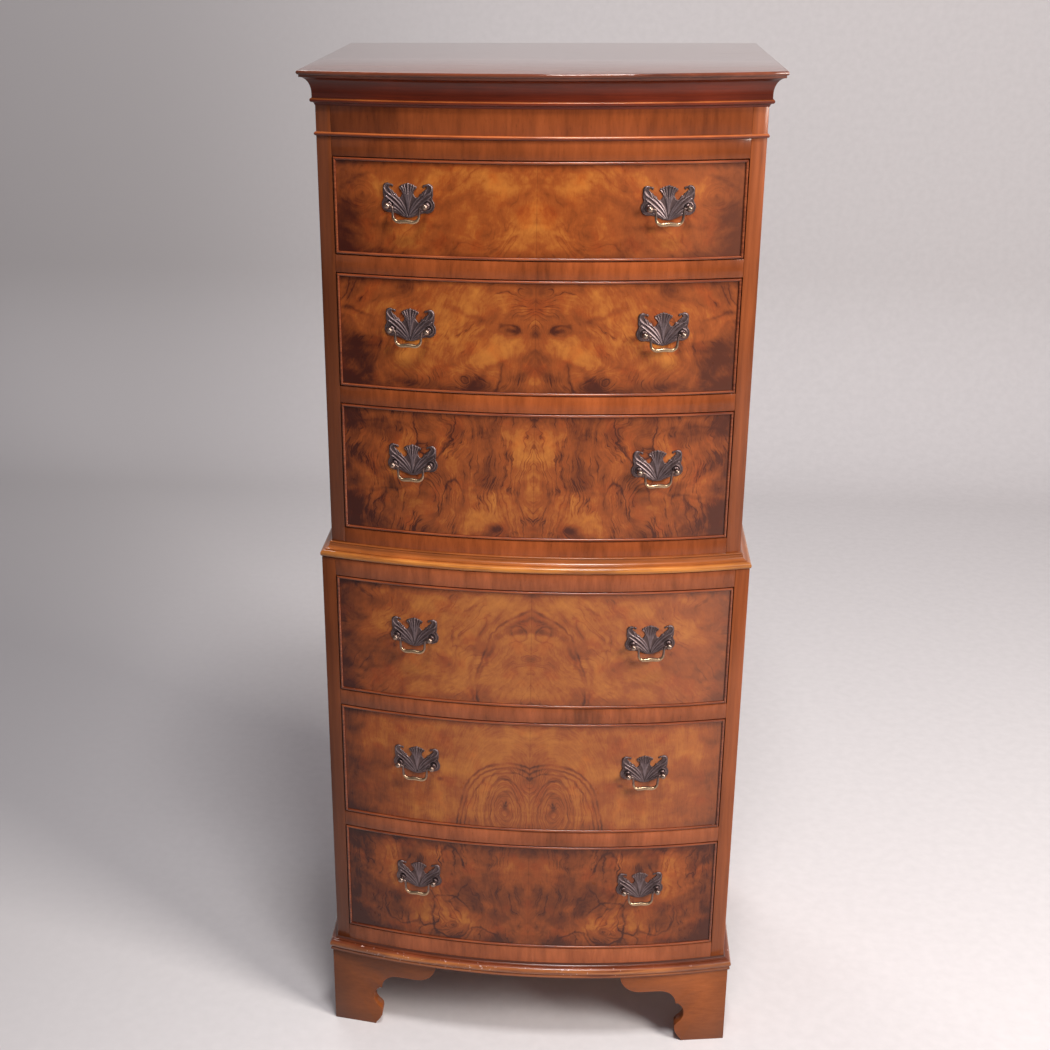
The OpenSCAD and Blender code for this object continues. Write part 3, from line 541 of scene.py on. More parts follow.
def burr(number, low, high):
    """Mirrored burr walnut for a drawer front between two corners, with its values in BURRS."""
    wood = bpy.context.scene.chest_wood
    r = SimpleNamespace(**{name: values[number - 1] for name, values in BURRS.items()})
    m = polished(f"burr_{number}", wood.polish, wood.polish_blur)
    half, tall = high[0] * MM, (high[2] - low[2]) * MM / 2
    x, _, z = m.place.parts()
    x = x * MM
    z = (z - (low[2] + high[2]) / 2) * MM
    u = abs(x)
    flat = m.vector(u, z, r.seed * 10)

    def sized(wide, shift, high=None):
        """The place on the face, for a pattern whose spots are so many millimetres wide and high."""
        return flat.stretch(1 / wide, 1 / (high or wide), 1, shift)

    broad, small, fine = sized(62, 0).noises(2), sized(17, 5).noises(2), sized(5, 9).noises(1)
    near_u, near_z = (at + small[k] * r.ragged + fine[k] * 2 for k, at in enumerate((u, z)))
    far_u, far_z = near_u + broad[0] * r.bend, near_z + broad[1] * r.bend

    def away(cx, cz, rx, rz, across, up):
        dx, dz = (across - cx) / rx, (up - cz) / rz
        return (dx * dx + dz * dz).root()

    field = far_u * r.lean[0] + far_z * r.lean[1]
    if r.ring:
        gain, cx, cz, ex, ez = r.ring
        field = field + away(cx, cz, 1 / ex, 1 / ez, far_u, far_z) * gain
    phase = field / r.period
    stain = 0
    for kx, kz, rx, rz, dark, gain in r.knots:
        off = away(kx, kz, rx, rz, near_u, near_z)
        stain = stain + off.bell() * dark
        if gain:
            phase = phase + (off * 0.6).bell() * gain
    breaks = sized(36, 14).noise(2)
    for cx, cz, rx, rz, thick, dark in r.loops:
        off = (away(cx, cz, rx, rz, far_u, far_z) - 1) * ((rx + rz) / 2 / thick)
        stain = stain + off.bell() * breaks.smooth(0.3, 0.6) * dark
    flow = m.vector(phase, far_u / r.along, far_z / r.along)
    bands = flow.stretch(0.9, 1.2, 1.2, r.seed).noise(3, 0.55) - 0.5
    thin, dark, rare = r.veins
    lines = abs(flow.stretch(2.6, 1.5, 1.5, r.seed + 40).noise(2, 0.45) - 0.5)
    hair = flow.stretch(11, 5, 5, r.seed + 50).noise(3, 0.6) - 0.5
    strength = breaks.smooth(rare, rare + 0.12)
    if r.reach:
        rx, rz, cz = r.reach
        strength = 1 - away(0, cz, rx, rz, far_u, far_z).smooth(0.92, 1.06) * 0.9
    veins = ((1 - lines.smooth(0, thin)) * 0.6 + (1 - lines.smooth(0, thin * 4)) * 0.4) * strength
    clouds = sized(46, 21, 38).noise(3, 0.55, 0.6)
    mottle = sized(9, 25).noise(3, 0.6, 0.8)
    flecks = m.vector(x, z, 0).stretch(1 / 0.8, 1 / 6, 1, 29).noise(2, 0.6)
    end_w, edge_w = r.shade
    reach_x = (half - u + broad[0] * 44) / end_w
    reach_z = (tall - abs(z) + small[1] * 14) / edge_w
    ends = (1 - reach_x.smooth(0, 1)) * 0.24
    edges = (1 - reach_z.smooth(0, 1)) * 0.2
    outer = 1 - ((half - u + broad[2] * 60) / 110).smooth(0, 1)
    corner = outer * (0 - z / tall + broad[0] * 0.8).smooth(-0.1, 0.9) * (r.corner * 0.3)
    right_half = x.smooth(-0.3, 0.3) * 0.035
    # Painted shade: the left end darker
    painted_left_shade = (1 - ((half + x) / 130).smooth(0, 1)) * r.left
    tone = (
        r.tone + (clouds - 0.5) * (r.patch * 2) + (mottle - 0.5) * 0.24 + bands * (r.bands * 1.4) + hair * 0.3
        + (flecks - 0.5) * 0.14 - veins * dark - stain * (0.55 + mottle * 0.9) - ends - edges - corner
        - right_half - painted_left_shade
    )
    tone = m.maths("SMOOTH_MAX", tone, 0.1, 0.3)
    dark, mid, light = wood.burr_dark, wood.burr_mid, wood.burr_light
    brown, gold = blend(dark, mid, 0.55), blend(mid, light, 0.6)
    figure = tone.ramp(
        (0.02, tint(dark, 0.8)), (0.14, dark), (0.36, brown), (0.54, mid), (0.74, gold), (0.98, tint(light, 1.05))
    )
    red = sized(26, 33).noise(3, 0.5)
    figure = (red.smooth(0.5, 0.72) * 0.4).mix(figure, (1, 0.55, 0.34), "MULTIPLY")
    # Painted reflection: a pale lilac veil over the figure
    left, middle, right = r.cool
    cool = left + x.smooth(-220, -20) * (middle - left) + x.smooth(20, 220) * (right - middle)
    figure = (cool * 0.35).mix(figure, srgb(172, 116, 92))
    joint = (1 - (u / 0.5).smooth(0.2, 1)) * 0.35
    figure = joint.mix(figure, tint(dark, 1.2))
    m.set(Base_Color=figure, Roughness=0.3 + (mottle - 0.5) * 0.14)
    m.bump(flecks * 0.5 + mottle * 0.5, 0.00005, 0.3)
    return m.material


# Metals


def cast_metal(name, base, worn, seed, amount, rough):
    """Antiqued metal: dark in its hollows, worn bright where the "height" attribute is high.

    On a bail the same marks are painted shade behind and a painted highlight in front.
    """
    m = Finish(name, Metallic=0.9, Coat_Weight=0.15, Coat_Roughness=0.2)
    height = m.height()
    grit = m.place.stretch(900, 900, 900, seed).noise(3, 0.6)
    patches = m.place.stretch(120, 120, 120, seed + 5).noise(3, 0.55)
    rub = (height + (grit - 0.5) * 0.3 + (patches - 0.5) * 0.5).smooth(0.5, 1) * amount
    # Patina in the hollows; on a bail, painted shade behind the rod
    patina_and_shade = (1 - height).smooth(0.45, 0.95) * 0.45
    figure = patches.ramp((0.3, tint(base, 0.7)), (0.7, tint(base, 1.25)))
    figure = patina_and_shade.mix(figure, tint(base, 0.3))
    figure = rub.mix(figure, worn)
    m.set(Base_Color=figure, Roughness=rough - rub * 0.1 + (grit - 0.5) * 0.16 + patina_and_shade * 0.2)
    m.bump(grit * 0.6 + patches * 0.4, 0.00012, 0.3)
    return m.material


# Handles


def mirrored(points):
    """An outline's right half with its mirror image, as one closed line."""
    return points + [(-x, z) for x, z in reversed(points[1:-1])]


def arc(cx, cz, r, start, end, steps):
    angles = [math.radians(start + (end - start) * k / steps) for k in range(steps + 1)]
    return [(cx + r * math.cos(a), cz + r * math.sin(a)) for a in angles]


PLATE = mirrored(
    [(0, -14.6), (4.6, -14), (9.8, -12), (14.2, -9.8)]
    + arc(22.3, 0, 9, -105, 38, 14)
    + [(28.5, 8.2), (29.6, 12)]
    + arc(24.2, 19.3, 5.4, -10, 125, 12)
    + arc(18.9, 21.6, 1.7, 100, 260, 8)
    + arc(20.8, 20.1, 1.5, 170, -70, 8)
    + [(19.5, 17), (17.4, 15.6), (16.4, 13.6), (14, 12.9), (12.8, 10.8)]
    + arc(10.2, 10.6, 2.1, -30, -150, 6)
    + [(6.6, 12.6), (7.2, 16)]
    + arc(9, 20, 1.6, -50, 80, 6)
    + arc(6.3, 21.6, 1.6, 10, 110, 6)
    + arc(3.3, 22.7, 1.6, 20, 120, 6)
    + arc(0, 22.9, 2.2, 40, 90, 4)
)
# Ribs cast on a plate's right half: start, bend and end in millimetres, half width, height
RIBS = [
    ((0, -9), (0, 6), (0, 24), 0.75, 1),
    ((0.6, -7), (1.2, 10), (4.2, 23), 0.6, 0.85),
    ((0.9, -4), (2.2, 12), (7.4, 21.8), 0.6, 0.8),
    ((1.2, 0), (3.2, 13), (10.2, 19.5), 0.55, 0.7),
    ((0.8, -12.6), (7.5, 2), (22.5, 12), 0.8, 1),
    ((22, 11.6), (27.4, 14.5), (28.2, 19.5), 0.75, 0.95),
    ((28.2, 19), (27, 25), (20, 23.2), 0.7, 0.9),
    ((1.2, -10.6), (6, 5), (16.8, 11.8), 0.65, 0.85),
    ((2.4, -12.4), (11, -2.5), (26, 9.5), 0.75, 0.9),
    ((4.4, -12.2), (12, -6), (17.5, -2.5), 0.65, 0.8),
    ((7, -10.8), (13, -7.6), (17, -6.8), 0.5, 0.6),
    ((18, 10.5), (20, 14), (21.8, 18), 0.55, 0.7),
]


def inside(x, z, line):
    odd = False
    for (ax, az), (bx, bz) in zip(line, line[1:] + line[:1]):
        if (az > z) != (bz > z) and x < (bx - ax) * (z - az) / (bz - az) + ax:
            odd = not odd
    return odd


def nearest(x, z, line):
    """The distance of a line from a point, how far along the line that is, 0 to 1, and the spot on the line."""
    best = (1e9, 0, x, z)
    for k, ((ax, az), (bx, bz)) in enumerate(zip(line, line[1:])):
        dx, dz = bx - ax, bz - az
        t = min(1, max(0, ((x - ax) * dx + (z - az) * dz) / (dx * dx + dz * dz)))
        px, pz = ax + t * dx, az + t * dz
        best = min(best, (math.hypot(x - px, z - pz), (k + t) / (len(line) - 1), px, pz))
    return best


def rib_line(start, bend, end):
    """A curve from start to end that leans towards bend."""
    shares = [((1 - t) ** 2, 2 * t * (1 - t), t * t) for t in (k / 12 for k in range(13))]
    return [tuple(a * start[i] + b * bend[i] + c * end[i] for i in (0, 1)) for a, b, c in shares]


def hump(off, wide):
    return math.exp(-((off / wide) ** 2))


def relief(x, z, edge, ribs, span):
    """Height of the casting, 0 to 1, at a point of the plate's front."""
    x = abs(x)
    rise = 0
    for line, width, height in ribs:
        away, t = nearest(x, z, line)[:2]
        thick = width * (0.7 + 0.75 * math.sin(math.pi * min(1, t * 0.9 + 0.08)))
        rise = max(rise, height * hump(away, thick))
    flat_seat, ring, lobe = 4.6, 5.4, 9
    seat = math.hypot(x - span / 2, z)
    boss = 0.55 * hump(seat - ring, 0.7) if seat < lobe else 0
    floor = 0.34 + 0.1 * hump(x, 12) * hump(z + 4, 9)
    rim = 0.3 * hump(edge - 0.9, 0.5)
    if seat < flat_seat:
        rise, rim = 0, 0
    high = floor + (1 - floor) * max(rise, boss, rim)
    round_over = min(1, edge / 0.8)
    return high * (0.45 + 0.55 * math.sqrt(1 - (1 - round_over) ** 2))


def model_plate(sizes):
    """A cast back plate: a grid cut to the outline, raised into its relief and closed behind."""
    clear()
    wide, tall, lift, cell = 64, 42, 5, sizes.plate_cell * MM
    nx, nz = round(wide / cell), round(tall / cell)
    bpy.ops.mesh.primitive_grid_add(x_subdivisions=nx, y_subdivisions=nz, size=1, location=(0, 0, 0))
    plate = bpy.context.object
    plate.name = "plate_pattern"
    mesh = plate.data
    mesh.transform(Matrix.Diagonal((wide, tall, 1, 1)))
    mesh.transform(Matrix.Translation((0, lift, 0)))
    holes = [(sizes.post_span * MM / 2 * side, 0) for side in (-1, 1)]
    bore = sizes.post_r * MM + 0.15

    def on_plate(x, z):
        return inside(x, z, PLATE) and all(math.hypot(x - hx, z - hz) > bore for hx, hz in holes)

    choose(plate, lambda face: not on_plate(face.center.x, face.center.y))
    bpy.ops.mesh.delete(type="FACE")
    clear()
    uses = Counter(edge for face in mesh.polygons for edge in face.edge_keys)
    border = {v for edge, n in uses.items() if n == 1 for v in edge}
    ribs = [(rib_line(*curve), width, height) for *curve, width, height in RIBS]

    def spot(co):
        return round(co.x, 4), round(co.y, 4)

    heights = {}
    for v in mesh.vertices:
        away, _, px, pz = nearest(v.co.x, v.co.y, PLATE + PLATE[:1])
        if v.index in border:
            for hx, hz in holes:
                seat = math.hypot(v.co.x - hx, v.co.y - hz)
                if seat < bore + 2:
                    k = bore / seat
                    px, pz = hx + (v.co.x - hx) * k, hz + (v.co.y - hz) * k
            v.co.x, v.co.y, away = px, pz, 0
        heights[spot(v.co)] = relief(v.co.x, v.co.y, away, ribs, sizes.post_span * MM)
    choose(plate, lambda face: True)
    bpy.ops.mesh.extrude_region_move(TRANSFORM_OT_translate={"value": (0, 0, 1)})
    clear()
    set_height(plate, lambda co: heights[spot(co)] if co.z > 0.5 else 0.3)
    for v in mesh.vertices:
        v.co.z = sizes.plate_thick * MM * heights[spot(v.co)] if v.co.z > 0.5 else 0
    # Stands it up in metres, its back 0.05 mm off the drawer's face
    mesh.transform(Matrix(((0.001, 0, 0, 0), (0, 0, -0.001, -0.00005), (0, 0.001, 0, 0), (0, 0, 0, 1))))
    choose(plate, lambda face: True)
    bpy.ops.mesh.normals_make_consistent(inside=False)
    return finish_mesh(plate, 50)


def turned(name, profile):
    """A turned piece along z: a disc extruded and scaled step by step along (radius, z), in metres."""
    clear()
    radius, z = profile[0]
    bpy.ops.mesh.primitive_circle_add(vertices=32, radius=radius, fill_type="NGON", location=(0, 0, 0))
    piece = bpy.context.object
    piece.name = name
    piece.data.transform(Matrix.Translation((0, 0, z)))
    edit_all()
    for next_radius, next_z in profile[1:]:
        bpy.ops.mesh.extrude_region_move(TRANSFORM_OT_translate={"value": (0, 0, next_z - z)})
        k = next_radius / radius
        bpy.ops.transform.resize(value=(k, k, 1), center_override=(0, 0, next_z))
        radius, z = next_radius, next_z
    bpy.ops.mesh.select_all(action="SELECT")
    bpy.ops.mesh.normals_make_consistent(inside=False)
    clear()
    return piece


def set_height(piece, rule):
    """Stores how high or worn each point of a piece is, for its material."""
    level = piece.data.attributes.new("height", "FLOAT", "POINT")
    for v in piece.data.vertices:
        level.data[v.index].value = rule(v.co)


def beyond_bow(co, foremost):
    """How far a point stands out from a bowed face whose foremost point is at y = foremost."""
    return math.hypot(co.x, co.y - (foremost + BOW_RADIUS)) - BOW_RADIUS


def standing_out(co):
    """How far a point stands out from the upper case, in front or at the sides."""
    return max(beyond_bow(co, CASE_FRONT_Y), abs(co.x) - CASE_HALF)


def cut(piece, tool):
    """Cuts a tool's shape out of a piece and removes the tool."""
    activate(piece)
    bore = piece.modifiers.new("bore", "BOOLEAN")
    bore.operation, bore.object, bore.solver = "DIFFERENCE", tool, "EXACT"
    bpy.ops.object.modifier_apply(modifier=bore.name)
    remove(tool)


def model_post(sizes):
    """A turned post along -y with its drilled ball, and the hexagonal nut behind the front."""
    mm = 1 / MM
    r, ball, out = sizes.post_r, sizes.ball_r, sizes.pivot_out
    collar = sizes.plate_thick + 0.00015
    head = arc(0, out, ball, -55, 89, 16)
    rings = [(r + wide * mm, collar + up * mm) for wide, up in ((0.7, 1.3), (0.5, 1.7), (0.1, 2.4), (0.2, 3.2))]
    profile = [
        (r * 0.7, -26 * mm), (r, -25.4 * mm), (r, collar), (ball * 0.93, collar), (ball, collar + 0.25 * mm),
        (ball, collar + 0.65 * mm), (ball * 0.9, collar + 0.9 * mm), *rings, *head, (ball * 0.03, out + ball),
    ]
    post = turned("post_pattern", profile)
    cut(post, cylinder(sizes.pin_r + 0.06 * mm, 4 * ball, (0, 0, out), lying=True))
    nut_place = (0, 0, -22.7 * mm)
    nut = cylinder(2 * r, 3 * mm, nut_place, vertices=6)
    cut(nut, cylinder(r + 0.1 * mm, 9 * mm, nut_place))
    finish_mesh(nut, 30, 0.25 * mm)
    finish_mesh(post, 40)
    post = join([post, nut])
    set_height(post, lambda co: 0.62 + 0.38 * max(0, (co.z - out) / ball) if co.z > collar + 0.002 else 0.45)
    post.data.transform(Matrix.Rotation(math.pi / 2, 4, "X"))
    return post


def bail_line(sizes):
    """Middle line of a bail in millimetres, from its right post down and round to its left one."""
    names = ("ball_r", "bail_w", "bail_drop", "bail_corner", "bail_dip", "post_span")
    ball, wide, drop, corner, dip, span = (getattr(sizes, name) * MM for name in names)
    lean, gap = 0.6, 0.3
    elbow_x = span / 2 - ball - gap
    elbow = elbow_x - wide / 2
    cx, cz = wide / 2 - lean - corner, corner - drop
    half = arc(elbow_x, -elbow, elbow, 90, 180, 8)
    x, z = half[-1]
    half += [(x + (cx + corner - x) * t / 5, z + (cz - z) * t / 5) for t in range(1, 5)]
    half += arc(cx, cz, corner, 0, -90, 12)
    half += [(cx * (1 - t), dip * math.sin(math.radians(90 * t)) ** 2 - drop) for t in (k / 8 for k in range(1, 9))]
    return half + [(-x, z) for x, z in reversed(half[:-1])]


def model_bail(sizes):
    """A bail in the handle's frame: a rod that swells towards the grip, and its two pivot pins."""
    line = bail_line(sizes)
    clear()
    bpy.ops.curve.primitive_bezier_curve_add(location=(0, 0, 0))
    rod = bpy.context.object
    rod.name = "bail_pattern"
    curve = rod.data
    curve.splines.clear()
    curve.dimensions, curve.bevel_depth, curve.bevel_resolution = "3D", sizes.rod_r, 6
    curve.use_fill_caps = True
    spline = curve.splines.new("POLY")
    spline.points.add(len(line) - 1)
    drop, half = sizes.bail_drop * MM, sizes.bail_w * MM / 2
    for point, (x, z) in zip(spline.points, line):
        point.co = (x / MM, -sizes.pivot_out, z / MM, 1)
        swell = (z / drop) ** 2 * (0.25 + 0.75 * math.cos(min(1, abs(x) / half) * math.pi / 2))
        point.radius = 1 + (sizes.grip_r / sizes.rod_r - 1) * swell
    bpy.ops.object.convert(target="MESH")
    rod = bpy.context.object
    pieces, inset = [rod], 0.0003
    for side in (-1, 1):
        at = side * (sizes.post_span / 2 - inset)
        pin = cylinder(sizes.pin_r, 2 * sizes.ball_r, (at, -sizes.pivot_out, 0), lying=True)
        pieces.append(finish_mesh(pin, 40, 0.0002))
    finish_mesh(rod, 60)
    bail = join(pieces)

    # Worn on the grip, with a painted highlight on its front; what lies behind stays low and is darkened as painted
    # shade
    def bail_wear_and_highlight(co):
        low = min(1, max(0, -co.z / sizes.bail_drop)) ** 2
        front = min(1, max(0, 0.5 - (co.y + sizes.pivot_out) / sizes.grip_r))
        return 0.25 + 0.22 * front + 0.6 * low * front

    set_height(bail, bail_wear_and_highlight)
    return bail


# Operators


class ChestStage(bpy.types.Operator):
    """Sets up the floor, the backdrop, the lamps and the camera"""

    bl_idname = "chest.stage"
    bl_label = "Stage"

    def execute(self, context):
        stage = context.scene.chest_stage
        clear()
        bpy.ops.mesh.primitive_plane_add(size=10, location=(0, -2.55, 0))
        floor = context.object
        floor.name = "floor"
        choose(floor, lambda v: v.co.y > 0, "VERT")
        bpy.ops.mesh.select_mode(type="EDGE")
        bpy.ops.mesh.extrude_region_move(TRANSFORM_OT_translate={"value": (0, 0, 5)})
        finish_mesh(floor, 60, 0.5, 12)
        bpy.ops.object.transform_apply(location=True, rotation=True, scale=True)
        m = Finish("floor", Roughness=0.85, Specular_IOR_Level=0.2)
        nap = m.place.stretch(60, 60, 60).noise(3)
        # Painted shade: the floor as seen, and the light it gives back, darker towards the left
        painted_floor_light = m.place.parts()[0].smooth(-1.3, 0)
        pale = nap.ramp((0.3, tint(stage.floor, 0.97)), (0.7, tint(stage.floor, 1.02)))
        pale = painted_floor_light.mix(tint(stage.floor, 0.74), pale)
        rays = m.add("LightPath").socket.node.outputs
        seen = sum(Value(m.tree, rays[name]) for name in ("Is Camera Ray", "Is Glossy Ray", "Is Transmission Ray"))
        m.set(Base_Color=seen.mix(painted_floor_light.mix(tint(stage.bounce, 0.6), stage.bounce), pale))
        floor.data.materials.append(m.material)
        world = context.scene.world = bpy.data.worlds.new("room")
        world.use_nodes = True
        across = Value(world.node_tree).add("TexCoord").parts()[0]
        room = across.smooth(-0.5, 0.6).mix(tint(stage.room, 0.36), stage.room)
        backdrop = world.node_tree.nodes["Background"]
        world.node_tree.links.new(room.socket, backdrop.inputs["Color"])
        backdrop.inputs["Strength"].default_value = stage.sky
        self.lamp("key", (2.5, -1.62, 2.2), 1.1, stage.key, (1, 0.95, 0.88))
        self.lamp("fill", (-2.2, -2, 1.5), 1.6, stage.fill, (0.92, 0.96, 1))
        self.lamp("top", (0.2, -1, 3), 0.45, stage.top, (1, 0.98, 0.95))
        self.lamp("back", (-1.3, 2.2, 3.3), 1.2, stage.back, (1, 0.98, 0.95))
        self.camera(context, stage)
        context.scene.view_settings.view_transform = "Standard"
        return {"FINISHED"}

    def lamp(self, name, place, size, power, tone):
        bpy.ops.object.light_add(type="AREA", location=place)
        lamp = bpy.context.object
        lamp.name = name
        lamp.data.size, lamp.data.energy, lamp.data.color = size, power, tone
        lamp.rotation_euler = (Vector((0, 0, 0.65)) - Vector(place)).to_track_quat("-Z", "Y").to_euler()

    def camera(self, context, stage):
        bpy.ops.object.camera_add(location=stage.camera)
        camera = context.object
        camera.name = "camera"
        turns = ((stage.turn, "Z"), (math.pi / 2 - stage.tilt, "X"), (stage.roll, "Z"))
        turn, tilt, roll = (Matrix.Rotation(by, 4, axis) for by, axis in turns)
        camera.matrix_world = Matrix.Translation(stage.camera) @ turn @ tilt @ roll
        camera.data.lens, camera.data.sensor_width = stage.lens, 36
        camera.data.shift_x, camera.data.shift_y = 0.0634, -0.0192
        context.scene.camera = camera


class ChestCases(bpy.types.Operator):
    """Veneers the case sides, the rails and the frieze, and finishes the inner boards"""

    bl_idname = "chest.cases"
    bl_label = "Cases"

    def execute(self, context):
        wood = context.scene.chest_wood
        # Painted shade: the left case side darker than the right
        side = plain_wood(
            "side_veneer", wood.side, (190, 90, 7), 4, 0.8, blotch=0.7, painted_shades=(("rightwards", 0.01, -0.01, 0.5),)
        )
        # Painted reflection: the lower rails get a brighter copy of the rail veneer under a pale lilac veil
        veiled_low_tone = blend(tint(wood.rail, 1.15), srgb(176, 120, 96), 0.15)
        # Painted shade: each veneer darker towards its ends, and the upper rails darker at the top
        rail, veiled_low_rail, frieze = (
            plain_wood(f"{name}_veneer", tone, scales, seed, 0.8, blotch=0.9, painted_shades=painted_shades)
            for name, tone, scales, seed, painted_shades in (
                ("rail", wood.rail, (150, 150, 26), 9, (("outwards", 0.13, 0.24, 0.42), ("upwards", 1.16, 1.19, 0.3))),
                ("veiled_low_rail", veiled_low_tone, (140, 150, 24), 10, (("outwards", 0.13, 0.25, 0.35),)),
                ("frieze", tint(wood.rail, 0.85), (130, 150, 20), 12, (("outwards", 0.12, 0.24, 0.4),)),
            )
        )
        inner = plain_wood("inner_wood", wood.inner, (40, 40, 8), 15, 0.7, polish=0, rough=0.62)
        boards = plain_wood("board_wood", wood.inner, (12, 130, 130), 19, 0.45, polish=0, rough=0.62, blotch=0.3)
        for node in ("upper_sides", "lower_sides"):
            dress(node, side, 0.0008)
        for node, veneer in (("upper_rails", rail), ("lower_rails", veiled_low_rail), ("frieze", frieze)):
            dress(node, veneer, 0.0005)
        for node in ("upper_runners", "lower_runners"):
            paint(node, inner)
        for node in ("upper_back", "lower_back", "upper_floor", "lower_boards"):
            paint(node, boards)
        return {"FINISHED"}


class ChestMouldings(bpy.types.Operator):
    """Finishes the top board, the cornice and the mouldings at the neck, waist and base"""

    bl_idname = "chest.mouldings"
    bl_label = "Mouldings"

    def execute(self, context):
        wood = context.scene.chest_wood
        top = plain_wood("top_veneer", wood.top, (10, 190, 190), 27, 0.9, polish=1, blotch=0.5, rough=0.26, blur=0.06)
        dress("top_board", top, 0.0002)
        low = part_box("cornice")[0][2]
        # Painted highlight: a bright line near the foot of the cornice
        crest_highlight = (low + 0.006, low + 0.0082, srgb(196, 110, 52))
        dress("cornice", moulded_wood("cornice_polish", wood.cornice, 31, crest_highlight=crest_highlight, gloss=0.55))
        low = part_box("frieze_bead")[0][2]
        # Painted highlight: a bright line along the neck bead
        crest_highlight = (low + 0.002, low + 0.006, srgb(204, 112, 56))
        dress("frieze_bead", moulded_wood("neck_polish", wood.bead, 35, crest_highlight=crest_highlight))
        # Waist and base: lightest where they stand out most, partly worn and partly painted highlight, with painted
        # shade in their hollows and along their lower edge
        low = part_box("waist_moulding")[0][2]
        polish = moulded_wood("waist_polish", wood.waist, 39, wear_and_highlight=(srgb(222, 146, 66), 1.2), edge=low)
        waist = dress("waist_moulding", polish)
        set_height(waist, lambda co: 0.25 + standing_out(co) / 0.02)
        low, high = (corner[2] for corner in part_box("base_moulding"))
        chips = (low + 0.002, high - 0.003)
        polish = moulded_wood("base_polish", wood.base, 43, chips, wear_and_highlight=(srgb(196, 122, 66), 1.1), edge=low)
        base = dress("base_moulding", polish)
        set_height(base, lambda co: (standing_out(co) - 0.0118) / 0.01)
        return {"FINISHED"}


class ChestFeet(bpy.types.Operator):
    """Finishes the bracket feet"""

    bl_idname = "chest.feet"
    bl_label = "Feet"

    def execute(self, context):
        wood = context.scene.chest_wood
        # Painted shade: darker near the floor, towards the outer ends and on the left foot
        painted_shades = (("upwards", 0.03, 0, 0.35), ("outwards", 0.235, 0.275, 0.35), ("rightwards", 0.01, -0.01, 0.42))
        foot = plain_wood("foot_wood", wood.foot, (60, 60, 260), 51, 0.45, blotch=1.2, rough=0.38, painted_shades=painted_shades)
        for node in ("feet_front", "feet_rear"):
            dress(node, foot, 0.0008)
        return {"FINISHED"}


class ChestDrawers(bpy.types.Operator):
    """Veneers the drawer fronts and finishes their beading, boxes and bottoms"""

    bl_idname = "chest.drawers"
    bl_label = "Drawers"

    def execute(self, context):
        wood = context.scene.chest_wood
        ground = plain_wood("front_ground", wood.ground, (12, 90, 150), 57, 0.7, polish=0, rough=0.55)
        # Beading: lighter on its ridge, partly worn and partly painted highlight, with painted shade beside the
        # drawer's face
        bead = moulded_wood("bead_polish", wood.bead, 61, wear_and_highlight=(srgb(198, 112, 62), 0.55))
        lining = plain_wood("lining_wood", wood.lining, (120, 9, 160), 65, 0.6, polish=0.05, rough=0.5)
        bottom = plain_wood("bottom_wood", wood.lining, (9, 110, 110), 69, 0.6, polish=0, rough=0.6)
        for i in DRAWERS:
            low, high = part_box(f"front_{i}")
            front = dress(f"front_{i}", burr(i, low, high))
            front.data.materials.append(ground)
            self.split(front)
            beading = dress(f"beading_{i}", bead, 0, 40)
            set_height(beading, lambda co: self.bead_wear_and_highlight(co, low))
            paint(f"box_{i}", lining)
            paint(f"bottom_{i}", bottom)
        return {"FINISHED"}

    def bead_wear_and_highlight(self, co, low):
        """A bead is worn on its ridge and carries a painted highlight there, most along the drawer's lower edge."""
        crest_highlight = (beyond_bow(co, low[1]) + 0.0002) / 0.0022
        return crest_highlight + 0.5 * (co.z < low[2] + 0.003)

    def split(self, front):
        """Only the bowed face is veneered: what lies behind it or faces another way is ground wood."""
        corners = front.data.vertices
        foremost = min(v.co.y for v in corners)
        for face in front.data.polygons:
            bowed = all(beyond_bow(corners[v].co, foremost) > -0.002 for v in face.vertices)
            face.material_index = 0 if bowed and face.normal.y < -0.9 else 1
        if all(face.material_index for face in front.data.polygons):
            raise RuntimeError(f"{front.name} has no bowed face to veneer")


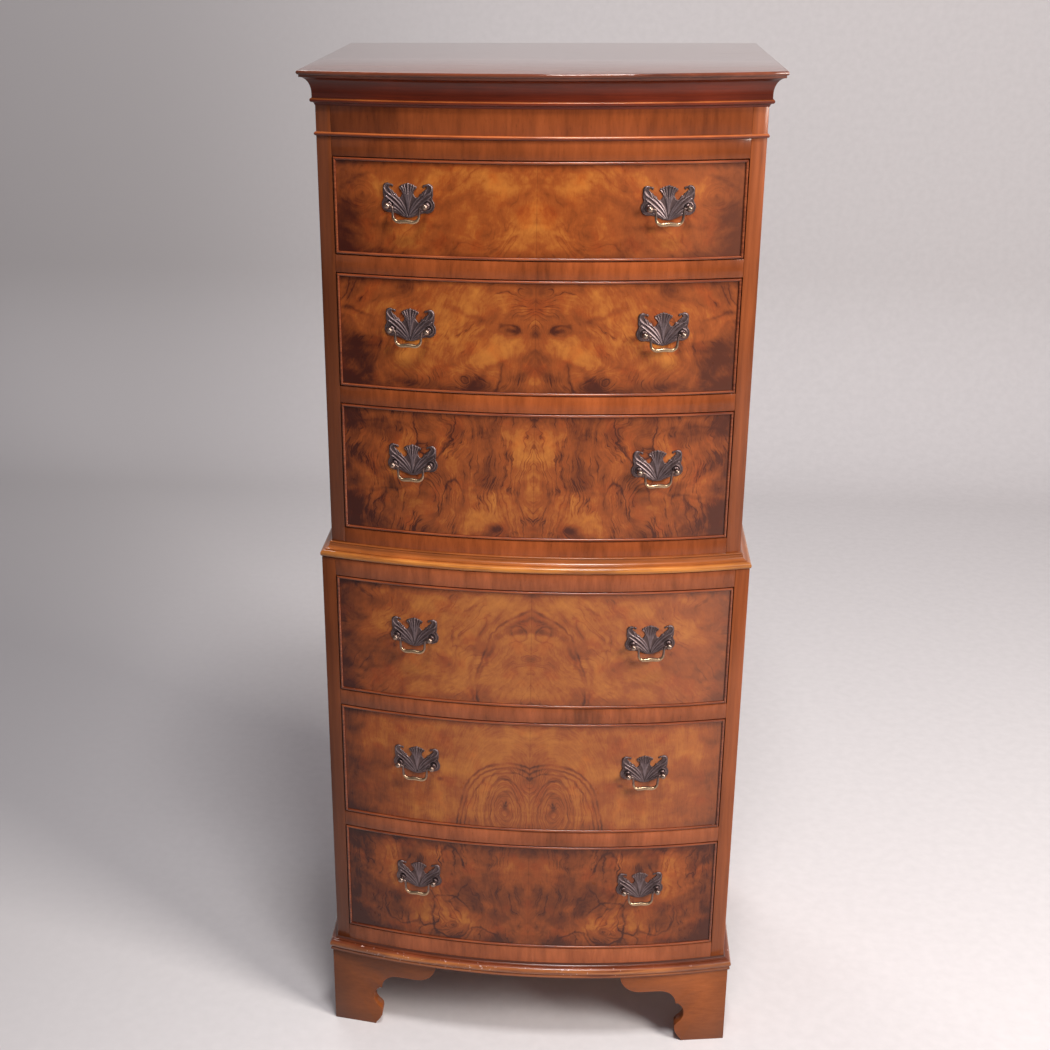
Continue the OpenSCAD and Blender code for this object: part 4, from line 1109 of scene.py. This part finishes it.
class ChestHandles(bpy.types.Operator):
    """Builds the back plates with their posts and nuts, and the bails"""

    bl_idname = "chest.handles"
    bl_label = "Handles"

    def execute(self, context):
        sizes = context.scene.chest_handles
        plate, post, bail = patterns = model_plate(sizes), model_post(sizes), model_bail(sizes)
        metals = (
            ("plate_metal", sizes.plate, srgb(164, 148, 152), 71, 0.36, 0.5),
            ("post_metal", tint(sizes.plate, 0.9), srgb(206, 178, 152), 75, 0.38, 0.34),
            ("bail_metal", blend(sizes.plate, sizes.worn, 0.06), sizes.worn, 79, 0.5, 0.34),
        )
        for pattern, metal in zip(patterns, metals):
            pattern.data.materials.clear()
            pattern.data.materials.append(cast_metal(*metal))
        for i in DRAWERS:
            for side in ("left", "right"):
                node = f"bail_{i}_{side}"
                place = handle_place(node, sizes)
                fixed = [placed_copy(plate, f"plate_{i}_{side}", place)]
                for end, x in (("a", -1), ("b", 1)):
                    spot = place @ Matrix.Translation((x * sizes.post_span / 2, 0, 0))
                    fixed.append(placed_copy(post, f"post_{i}_{side}_{end}", spot))
                for piece in fixed:
                    settle(piece, f"drawer_{i}", f"pulls_{i}")
                settle(placed_copy(bail, f"{node}_rod", place), node, node)
        for pattern in patterns:
            remove(pattern)
        return {"FINISHED"}


class ChestPanel(bpy.types.Panel):
    bl_idname = "VIEW3D_PT_chest"
    bl_label = "Chest on Chest"
    bl_space_type = "VIEW_3D"
    bl_region_type = "UI"
    bl_category = "Chest"

    def draw(self, context):
        for step in STEPS:
            self.layout.operator(step.bl_idname)
        for group in (getattr(context.scene, name) for name in GROUPS):
            box = self.layout.box()
            for name in group.__annotations__:
                box.prop(group, name)


STEPS = (ChestStage, ChestCases, ChestMouldings, ChestFeet, ChestDrawers, ChestHandles)
GROUPS = {"chest_wood": WoodFinish, "chest_handles": HandleSizes, "chest_stage": StageSettings}
CLASSES = (*GROUPS.values(), *STEPS, ChestPanel)


def register():
    for made in CLASSES:
        bpy.utils.register_class(made)
    for name, group in GROUPS.items():
        setattr(bpy.types.Scene, name, bpy.props.PointerProperty(type=group))


def unregister():
    for name in GROUPS:
        delattr(bpy.types.Scene, name)
    for made in reversed(CLASSES):
        bpy.utils.unregister_class(made)


def main():
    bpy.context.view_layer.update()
    register()
    bpy.ops.chest.stage()
    bpy.ops.chest.cases()
    bpy.ops.chest.mouldings()
    bpy.ops.chest.feet()
    bpy.ops.chest.drawers()
    bpy.ops.chest.handles()
    clear()


if __name__ == "__main__":
    main()
